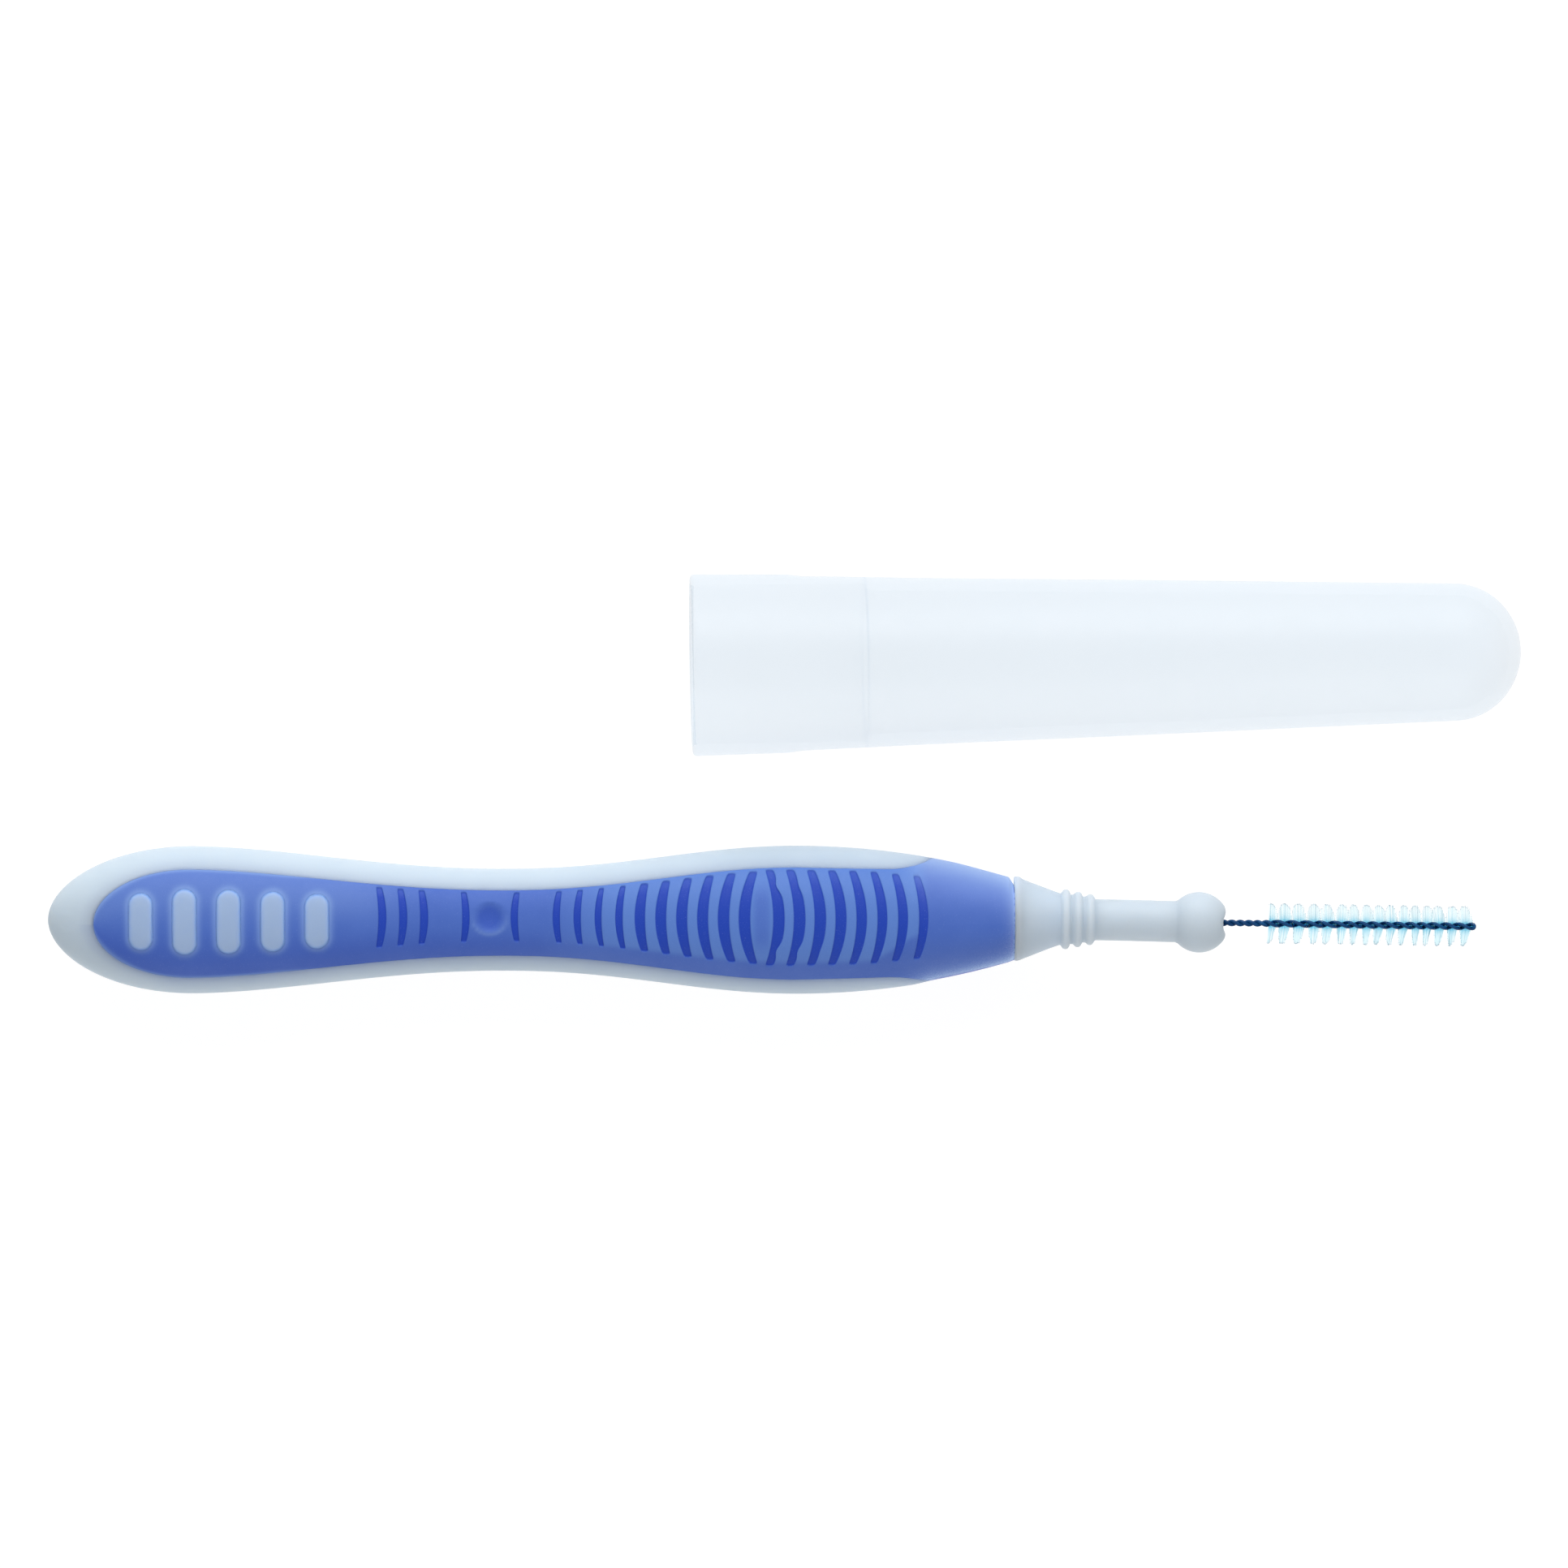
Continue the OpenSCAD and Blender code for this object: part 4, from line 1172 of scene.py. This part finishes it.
def with_line(profile):
    """Adds points across the faint line at the bore's end, where a forward profile passes it."""
    dense = [profile[0]]
    for a, b in zip(profile, profile[1:]):
        for d in (-2, -1, 0, 1, 2):
            x = BORE_L + d * CAP_LINE_W
            if a[1] < x < b[1]:
                dense.append((mix(a[0], b[0], (x - a[1]) / (b[1] - a[1])), x))
        dense.append(b)
    return dense


def dome(r, length, angles):
    """Points of the dome's curve, from 0 degrees at its foot to 90 at its top."""
    return [(r * math.cos(a), DOME_AT + length * math.sin(a)) for a in np.radians(angles)]


def cap_outside():
    """The outside, as radius and place along, from inside the rounded mouth to the dome's top."""
    step_end = COLLAR_L + COLLAR_STEP_L
    profile = [(BORE_R, 0.25), (BORE_R + 0.06, 0.1), (BORE_R + 0.2, 0), (MOUTH_R - 0.25, 0)]
    profile += [(MOUTH_R - 0.1, 0.05), (MOUTH_R - 0.02, 0.16), (MOUTH_R, 0.32)]
    profile += [(mix(MOUTH_R, COLLAR_END_R, 0.5), COLLAR_L / 2), (COLLAR_END_R, COLLAR_L - 0.15)]
    profile += [(COLLAR_END_R - 0.015, COLLAR_L), (TUBE_R + 0.02, step_end - 0.1)]
    profile.append((TUBE_R - 0.01, step_end + 0.15))
    straight = []
    for s in np.linspace(0.05, 0.98, 16):
        dip = np.interp(s, (0, 0.2, 0.5), (0, TUBE_DIP, 0))
        straight.append((mix(TUBE_R, DOME_W / 2, s) - dip, mix(step_end, DOME_AT, s)))
    return profile + with_line(straight) + dome(DOME_W / 2, DOME_L, np.linspace(0, 90, 28))


def cap_inside():
    """The inside, from the dome's top back to the bore."""
    inner_r = DOME_W / 2 - CAP_WALL
    profile = dome(inner_r, DOME_L - CAP_WALL, np.linspace(90, 0, 24))
    profile += [(mix(LEDGE_R, inner_r, s), mix(BORE_L, DOME_AT, s)) for s in np.linspace(0.97, 0.03, 12)]
    profile += [(LEDGE_R + 0.04, BORE_L + 0.04), (LEDGE_R + 0.12, BORE_L), (BORE_R, BORE_L)]
    return profile + [(BORE_R, BORE_L / 2)]


def cap():
    """The cap, of which the outside veils what is behind it and the inside hardly shows."""
    outside = cap_outside()
    profile = outside + cap_inside()
    points, faces = lathe(profile, CAP_SIDES)
    closing = (np.stack([points[-1], points[0]]), grid_faces(2, CAP_SIDES, wrap=True))
    line = np.exp(-((points[..., 0] - BORE_L) / CAP_LINE_W) ** 2)
    number = np.arange(len(profile))[:, None]
    upper_rounding = (number < 3) & (points[..., 2] > 0)
    bore = (number == 0) | upper_rounding | (number >= len(outside))
    piece = add_mesh("travel_cap", [(points, faces), closing], "cap", ["cap"], CLEAR,
                     values={"line": [line.ravel(), np.zeros(2 * CAP_SIDES)],
                             "bore": [bore.ravel(), np.ones(2 * CAP_SIDES)]})
    in_bore = [item.value > 0.5 for item in piece.data.attributes["bore"].data]
    piece.data.materials.append(CLEAR_INSIDE)
    for face in piece.data.polygons:
        face.material_index = int(all(in_bore[i] for i in face.vertices))
    piece.data.transform(cap_matrix())


cap()


# Stage
FRAME_W = 96.6
LENS = 200
SENSOR = 36
TILT = 5.0
AIM = (0.025, -0.075, 3.55)
FLOOR_HALF, FLOOR_Z = 1500, -0.01
FLOOR_GLOW, FLOOR_SHADING, FLOOR_BOUNCE = 0.93, 0.16, 0.9
ROOM_LIGHT = 0.33


def stage():
    """A table that glows white with the object's shadow for the rays that see it, and is plain for others."""
    corners = [(x * FLOOR_HALF, y * FLOOR_HALF, FLOOR_Z) for x, y in ((-1, -1), (1, -1), (1, 1), (-1, 1))]
    mesh = bpy.data.meshes.new("floor")
    mesh.from_pydata([[v * MM for v in corner] for corner in corners], [], [[0, 1, 2, 3]])
    floor = new_object("floor", mesh)
    material = bpy.data.materials.new("white_table")
    material.use_nodes = True
    tree = material.node_tree
    tree.nodes.remove(tree.nodes["Principled BSDF"])
    seen = seen_ray(tree)
    glow = feed(tree, tree.nodes.new("ShaderNodeEmission"), {"Strength": FLOOR_GLOW})
    shading = feed(tree, tree.nodes.new("ShaderNodeBsdfDiffuse"), {"Color": (FLOOR_SHADING,) * 3})
    both = feed(tree, tree.nodes.new("ShaderNodeAddShader"), {0: glow.outputs[0], 1: shading.outputs[0]})
    plain = feed(tree, tree.nodes.new("ShaderNodeBsdfDiffuse"), {"Color": (FLOOR_BOUNCE,) * 3})
    choose = feed(tree, tree.nodes.new("ShaderNodeMixShader"),
                  {0: seen, 1: plain.outputs[0], 2: both.outputs[0]})
    feed(tree, tree.nodes["Material Output"], {"Surface": choose.outputs[0]})
    mesh.materials.append(material)


def seen_ray(tree):
    """1 for camera, glossy and transmission rays, which see the white background."""
    path = tree.nodes.new("ShaderNodeLightPath")
    total = path.outputs["Is Camera Ray"]
    for name in ("Is Glossy Ray", "Is Transmission Ray"):
        total = combine(tree, "MAXIMUM", total, path.outputs[name])
    return total


def world():
    scene_world = bpy.data.worlds.new("studio")
    bpy.context.scene.world = scene_world
    scene_world.use_nodes = True
    tree = scene_world.node_tree
    strength = ramp(tree, seen_ray(tree), 0, 1, ROOM_LIGHT, 1.0)
    feed(tree, tree.nodes["Background"], {"Color": (1, 1, 1), "Strength": strength})


def softbox(name, place, size, power):
    """A white rectangular lamp that faces the object's middle, in millimetres and watts."""
    data = bpy.data.lights.new(name, "AREA")
    data.shape = "RECTANGLE"
    data.size, data.size_y = size[0] * MM, size[1] * MM
    data.energy = power
    lamp = new_object(name, data)
    place = Vector(place) * MM
    lamp.location = place
    lamp.rotation_euler = (-place).to_track_quat("-Z", "Y").to_euler()


def camera():
    data = bpy.data.cameras.new("camera")
    data.lens = LENS
    data.sensor_width = SENSOR
    data.clip_start = 0.01
    data.clip_end = 10
    away = FRAME_W * LENS / SENSOR
    tilt = math.radians(TILT)
    eye = new_object("camera", data)
    direction = Vector((0, math.sin(tilt), math.cos(tilt)))
    eye.location = (Vector(AIM) + direction * away) * MM
    eye.rotation_euler = (-tilt, 0, 0)
    bpy.context.scene.camera = eye


stage()
world()
softbox("window", (0, 420, 300), (500, 300), 2.75)
softbox("fill", (0, -500, 134), (500, 200), 1.1)
camera()
bpy.context.scene.view_settings.view_transform = "Standard"
